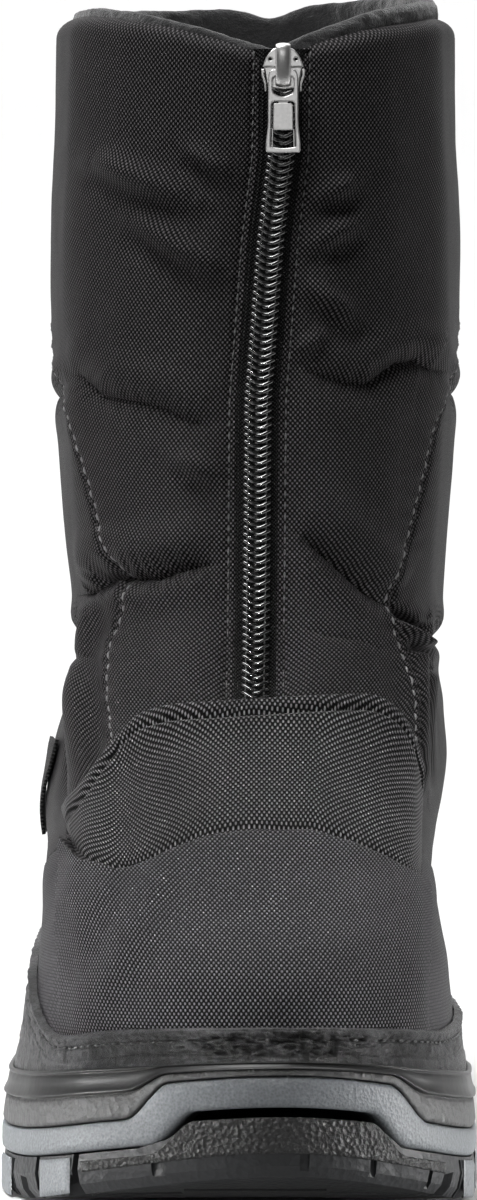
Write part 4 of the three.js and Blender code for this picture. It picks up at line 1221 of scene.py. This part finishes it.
def buildBumper():
    turns = np.linspace(stationOf(1, 262.0), stationOf(-1, 262.0), 4000)
    x, _ = soleEdge(turns)
    wanted = np.linspace(bumper["to"], bumper["from"], soleGrid["bumperColumns"])
    near = np.argsort(x)
    us = np.interp(wanted, x[near], turns[near])
    x, s = soleEdge(us)
    low = bumper["low"] + rocker(s) + 0.3
    high = greyBottom(s, x) - bumper["under"]
    return makeObject("toe_bumper", *solePatch(us, low, high, bumper["proud"], soleGrid["bumperRows"],
                                               rough=bumper["rough"]))


def buildLugCaps():
    parts = []
    for side, places in ((-1, lugShape["outerSide"]), (1, lugShape["bigToeSide"])):
        for start, end in places:
            us = np.array([stationOf(side, s) for s in np.linspace(start, end, soleGrid["capColumns"])])
            _, s = soleEdge(us)
            parts.append(solePatch(us, rocker(s) + lugShape["low"] - 2.0, bandLow(s) - lugShape["under"],
                                   lugShape["proud"], soleGrid["capRows"]))
    return makeObject("grey_lugs", *joinParts([(p, f.tolist()) for p, f in parts]))


finishPiece(buildBumper(), "boot", bumperRubber)
finishPiece(buildLugCaps(), "boot", soleGrey)
print("sole made")

# the fleece starts inside the rolled cloth edge, stands a little above it and goes down the inside;
# its path is told by steps out and up
lining = {"columns": 300, "rows": 150, "tuft": 0.7, "tuftUp": 0.4, "inside": -7.3, "highSide": 0.2,
          "lowSide": 2.6, "hump": 3.4, "notch": 3.2, "notchX": 9.0, "notchWidth": 7,
          "path": [(-4.0, -3.4), (-3.6, -1.6), (-3.7, 0.2), (-4.2, 1.5), (-5.0, 2.2), (-5.9, 2.3),
                   (-6.6, 1.7), (-7.1, 0.4), (-7.3, -1.4)]}


def buildLining():
    columns, rows = lining["columns"], lining["rows"]
    u = np.arange(columns) / columns
    top = float(last["levels"])
    key, fine = np.linspace(0, 1, len(lining["path"])), np.linspace(0, 1, 26)
    out, lift = (curve(key, [step[i] for step in lining["path"]], fine) for i in (0, 1))
    down = rows - len(fine)
    outward = np.concatenate([out, np.full(down, lining["inside"])])
    level = np.concatenate([np.full(len(fine), top), np.linspace(top - 0.06, -1.35, down)])
    lift = np.concatenate([lift, np.linspace(-1.6, 0, down)])
    uu, ll = np.tile(u, rows), np.repeat(level, columns)
    base, normal = skin(uu, ll)
    # at the rim the steps are level and upright, lower down they follow the skin
    flat = normal * np.array([1, 1, 0])
    flat /= np.linalg.norm(flat, axis=1, keepdims=True)
    rimShare = smooth(ll, top - 0.5, top)[:, None]
    base = base + mix(normal, flat, rimShare) * np.repeat(outward, columns)[:, None]
    around = girth(uu)
    innerSide = smooth(around, -10, 50) * (1 - 0.5 * smooth(around, 120, 165))
    innerSide = innerSide + 0.5 * smooth(-around, 120, 165)
    behind = smooth(base[:, 1], 60, 110)
    rise = np.repeat(lift, columns)
    humps = lining["hump"] - lining["notch"] * bell(base[:, 0] - lining["notchX"], lining["notchWidth"])
    wave = lining["highSide"] * innerSide - lining["lowSide"] * (1 - innerSide)
    base[:, 2] += rise + (mix(wave, humps + 0.05 * base[:, 0], behind)) * rimShare[:, 0]
    tuft = 0.5 * valueNoise(base, 1.9, 51) + 0.5 * valueNoise(base, 4.2, 52)
    base += normal * (tuft * lining["tuft"])[:, None]
    base[:, 2] += tuft * lining["tuftUp"]
    return makeObject("fleece_lining", base, gridFaces(rows, columns, closeColumns=True))


finishPiece(buildLining(), "boot", fleece)
insole = {"columns": 220, "rings": 30, "middleX": 4.0, "middleY": (-105, 118), "thick": 5.6, "crown": 0.7,
          "pile": 0.35, "pileCell": 2.2}


def buildInsole():
    columns, rings = insole["columns"], insole["rings"]
    u = np.arange(columns) / columns
    edge, _ = skin(u, -1.45, -last["wall"] - 0.3)
    middle = np.stack([np.full(columns, insole["middleX"]), np.clip(edge[:, 1], *insole["middleY"]),
                       edge[:, 2]], 1)
    points = []
    for t in np.linspace(0, 1, rings):
        ring = mix(edge, middle, t)
        s = toY(ring[:, 1])
        crown = insole["crown"] * math.sqrt(min(1, t * 8))
        ring[:, 2] = pocketFloor(s) + insole["thick"] * (1 - 0.55 * smooth(s, 255, 292)) + crown
        points.append(ring)
    points = np.concatenate(points)
    points[:, 2] += insole["pile"] * valueNoise(points, insole["pileCell"], 61)
    return makeObject("fleece_insole", points, gridFaces(rings, columns, closeColumns=True))


finishPiece(buildInsole(), "boot", fleece, replaced="insole")
print("lining made")

# the slider and its pull tab, as flat cut shapes with rounded edges
metalShape = {"x": 11.5, "front": -4.9, "pivotZ": 280.0, "tabThick": 1.3, "tabBevel": 0.28, "tabLean": -0.01,
              "bridgeLean": 0.16, "bridgeHalf": 1.95}


def roundedRow(points):
    # a smooth closed outline through corner points, each corner cut by its own radius
    outline = []
    count = len(points)
    for i, (x, z, radius) in enumerate(points):
        here = np.array([x, z])
        before, after = np.array(points[i - 1][:2]), np.array(points[(i + 1) % count][:2])
        a, b = before - here, after - here
        radius = min(radius, 0.48 * np.linalg.norm(a), 0.48 * np.linalg.norm(b))
        start, end = here + a / np.linalg.norm(a) * radius, here + b / np.linalg.norm(b) * radius
        if radius < 0.02:
            outline.append(here)
            continue
        for t in np.linspace(0, 1, 7):
            outline.append((1 - t) ** 2 * start + 2 * t * (1 - t) * here + t * t * end)
    return outline


def mirrored(half):
    # a shape told by its right half from the top down, mirrored to the left
    return half + [(-x, z, r) for x, z, r in reversed(half) if abs(x) > 1e-6]


def cutPlate(loops, y, thick, bevel, lean=0.0):
    # loops of (x, z, corner radius): the outside first, then the holes; a bevelled plate facing the front
    shape = bpy.data.curves.new("plate", "CURVE")
    shape.dimensions, shape.fill_mode = "2D", "BOTH"
    shape.extrude, shape.bevel_depth, shape.bevel_resolution = thick / 2 - bevel, bevel, 3
    shape.offset = -bevel
    for loop in loops:
        outline = roundedRow(loop)
        spline = shape.splines.new("POLY")
        spline.points.add(len(outline) - 1)
        for point, (x, z) in zip(spline.points, outline):
            point.co = (x, z, 0, 1)
        spline.use_cyclic_u = True
    holder = bpy.data.objects.new("plate", shape)
    bpy.context.scene.collection.objects.link(holder)
    bpy.context.view_layer.update()
    mesh = bpy.data.meshes.new_from_object(holder.evaluated_get(bpy.context.evaluated_depsgraph_get()))
    points = np.array([v.co[:] for v in mesh.vertices])
    faces = [list(polygon.vertices) for polygon in mesh.polygons]
    bpy.data.objects.remove(holder)
    bpy.data.curves.remove(shape)
    bpy.data.meshes.remove(mesh)
    across, up, deep = points.T
    leaned = y - deep + lean * (up - metalShape["pivotZ"])
    return np.stack([across + metalShape["x"], leaned, up], axis=1), faces


def metalPiece(name, parts, body, replaced):
    made = makeObject(name, *joinParts(parts))
    weighted = made.modifiers.new("flat_faces", "WEIGHTED_NORMAL")
    weighted.keep_sharp = True
    finishPiece(made, body, zincMetal, replaced=replaced)


def buildSlider():
    y = metalShape["front"]
    dome = mirrored([(0, 286.9, 0), (2.7, 286.7, 1.2), (4.5, 284.2, 2.0), (5.3, 281.9, 0.3), (0, 281.9, 0)])
    floor = mirrored([(0, 282.4, 0), (5.0, 282.4, 0.5), (4.0, 276.6, 1.0), (0, 276.2, 0)])
    pins = [[(side * 3.3 + 0.4 * math.cos(a), 283.9 + 0.4 * math.sin(a), 0.0)
             for a in np.linspace(0, 6.28, 13)[:-1]] for side in (-1, 1)]
    parts = [cutPlate([dome] + pins, y + 3.1, 2.2, 0.3), cutPlate([floor], y + 4.6, 1.2, 0.3)]
    for side in (-1, 1):
        ear = [(side * x, z, r) for x, z, r in ((4.75, 281.4, 0.1), (5.7, 281.3, 0.3), (5.6, 279.9, 0.5),
                                                (4.85, 277.6, 0.6), (4.75, 275.6, 0.2), (4.3, 275.6, 0.2),
                                                (4.35, 277.8, 0.6), (4.95, 279.9, 0.5))]
        parts.append(cutPlate([ear], y + 3.3, 2.0, 0.2))
    # the bridge that holds the tab: an arch from the top of the dome down to the floor
    turn = np.linspace(0, np.pi, 25)
    path = np.stack([np.full(25, metalShape["x"]), y + 3.2 - 3.3 * np.sin(turn) ** 0.3,
                     282.4 + 5.1 * np.cos(turn)], 1)
    path[:, 1] += metalShape["bridgeLean"] * (287.5 - path[:, 2])
    side = np.tile([1.0, 0.0, 0.0], (25, 1))
    parts.append(tube(path, np.cross(side, np.gradient(path, axis=0)), metalShape["bridgeHalf"], sides=20,
                      flatten=0.3))
    metalPiece("slider_body", parts, "boot", "zip_slider")


def buildPull():
    y = metalShape["front"] + 2.2
    outside = mirrored([(0, 281.2, 0), (3.3, 281.2, 1.4), (3.85, 279.4, 0.6), (3.9, 267.0, 1.5),
                        (4.45, 262.5, 0.6), (4.5, 259.8, 0.8), (0, 259.7, 0)])
    slot = mirrored([(0, 279.5, 0), (2.75, 279.5, 1.2), (2.75, 277.0, 0.4), (2.75, 275.2, 2.2),
                     (0, 273.9, 1.4)])
    window = mirrored([(0, 273.0, 0), (2.95, 273.0, 0.9), (3.3, 261.2, 0.6), (0, 260.9, 0)])
    plate = mirrored([(0, 272.5, 0), (2.5, 272.5, 0.6), (2.6, 265.6, 0.5), (0, 265.6, 0)])
    back = mirrored([(0, 273.6, 0), (1.2, 273.6, 0.3), (1.2, 265.8, 0.3), (0, 265.8, 0)])
    rail = [(2.6, 265.9, 0.1), (2.9, 265.9, 0.1), (3.0, 261.0, 0.1), (2.7, 261.0, 0.1)]
    lean, thick = metalShape["tabLean"], metalShape["tabThick"]
    parts = [cutPlate([outside, slot, window], y, thick, metalShape["tabBevel"], lean),
             cutPlate([back], y + 0.45, 0.35, 0.05, lean),
             cutPlate([plate], y + 0.02, thick - 0.15, 0.2, lean)]
    for side in (-1, 1):
        parts.append(cutPlate([[(side * x, z, r) for x, z, r in rail]], y + 0.1, 0.8, 0.08, lean))
    metalPiece("pull_tab", parts, "pull_tab", "zip_pull")


buildSlider()
buildPull()
print("metal made")

# floor, light and camera
studio = {
    "lens": 186.75, "distance": 1458.0, "height": 194.0, "drop": 1.767, "world": 0.04,
    "floorShade": (-0.34, -0.1), "floorDark": 0.06, "floorPale": 0.92,
    "lights": {   # place, target, width, height, power, spread in degrees
        "left_bank": ((-1.0, -0.3, 0.4), (0, 0, 0.15), 0.5, 0.9, 1.0, 180),
        "right_bank": ((1.0, -0.1, 0.4), (0, 0, 0.15), 0.5, 0.9, 0.55, 180),
        "top_bank": ((-0.35, -0.35, 1.2), (0, -0.05, 0.1), 0.7, 0.6, 13.5, 180),
        "front_fill": ((-0.5, -1.6, 0.7), (0, 0, 0.15), 0.8, 0.8, 0.3, 180),
        "low_left": ((-0.8, -0.03, 0.04), (0, -0.08, 0.01), 0.4, 0.05, 0.145, 12),
        "low_right": ((0.8, -0.03, 0.04), (0, -0.08, 0.01), 0.4, 0.05, 0.155, 12),
        "instep_glow": ((-0.25, -1.3, 0.85), (-0.01, -0.05, 0.1), 0.1, 0.1, 0.09, 12),
        "front_card": ((-0.12, -1.7, 0.43), (0, 0, 0.26), 0.45, 0.22, 1.3, 180),   # only metal mirrors it
        "backdrop_wash": ((0, 0.55, 1.9), (0, 1.5, 0.5), 2.4, 0.5, 34.0, 180),
    },
}


def buildFloor():
    size, back, curl = 3.0, 1.6, 0.35
    profile = [(-3.2, 0.0), (back - curl, 0.0)]
    profile += [(back - curl + curl * math.sin(a), curl - curl * math.cos(a))
                for a in np.linspace(0.1, math.pi / 2, 12)]
    profile.append((back, 3.2))
    points = [(x / mm, y / mm, z / mm) for x in (-size, size) for y, z in profile]
    n = len(profile)
    faces = [[n + i, n + i + 1, i + 1, i] for i in range(n - 1)]
    made = makeObject("studio_floor", points, faces)
    material, tree, shader = newMaterial("studio_paper", Roughness=0.8, Specular_IOR_Level=0.2)
    place = node(tree, "SeparateXYZ", {0: node(tree, "TexCoord").outputs["Object"]}).outputs[1]
    dark, full = studio["floorShade"]
    near = node(tree, "MapRange", {"Value": place, "From Min": dark, "From Max": full}).outputs[0]
    # pale to the eye all over, but the part in front throws little light up at the boot
    share = calc(tree, "MAXIMUM", near, node(tree, "LightPath").outputs["Is Camera Ray"])
    paper = mixColour(tree, share, grey(studio["floorDark"]), grey(studio["floorPale"]))
    tree.links.new(paper, shader.inputs["Base Color"])
    # seen from behind, the paper is clear, so that a camera at the back can see the boot
    side = node(tree, "NewGeometry").outputs["Backfacing"]
    clear = node(tree, "BsdfTransparent").outputs[0]
    cleared = node(tree, "MixShader", {0: side, 1: shader.outputs[0], 2: clear})
    for link in list(tree.links):
        if link.to_node.type == "OUTPUT_MATERIAL":
            tree.links.new(cleared.outputs[0], link.to_socket)
    made.data.materials.append(material)


def addLight(name, place, target, width, height, power, spread):
    light = bpy.data.lights.new(name, "AREA")
    light.shape, light.size, light.size_y, light.energy = "RECTANGLE", width, height, power
    light.spread = math.radians(spread)
    made = bpy.data.objects.new(name, light)
    made.location = place
    made.rotation_mode = "QUATERNION"
    made.rotation_quaternion = (Vector(target) - Vector(place)).to_track_quat("-Z", "Y")
    bpy.context.scene.collection.objects.link(made)


buildFloor()
world = bpy.data.worlds.new("studio")
bpy.context.scene.world = world
world.use_nodes = True
world.node_tree.nodes["Background"].inputs["Color"].default_value = (1, 1, 1, 1)
world.node_tree.nodes["Background"].inputs["Strength"].default_value = studio["world"]
for name, values in studio["lights"].items():
    addLight(name, *values)

bpy.context.scene.view_settings.view_transform = "Standard"
camera = bpy.data.cameras.new("camera")
camera.lens, camera.sensor_width = studio["lens"], 36.0
camera.clip_start, camera.clip_end = 0.05, 20
cameraObject = bpy.data.objects.new("camera", camera)
cameraObject.location = (0, (-last["length"] / 2 - studio["distance"]) * mm, studio["height"] * mm)
cameraObject.rotation_euler = (math.radians(90 - studio["drop"]), 0, 0)
bpy.context.scene.collection.objects.link(cameraObject)
bpy.context.scene.camera = cameraObject

print("finished")
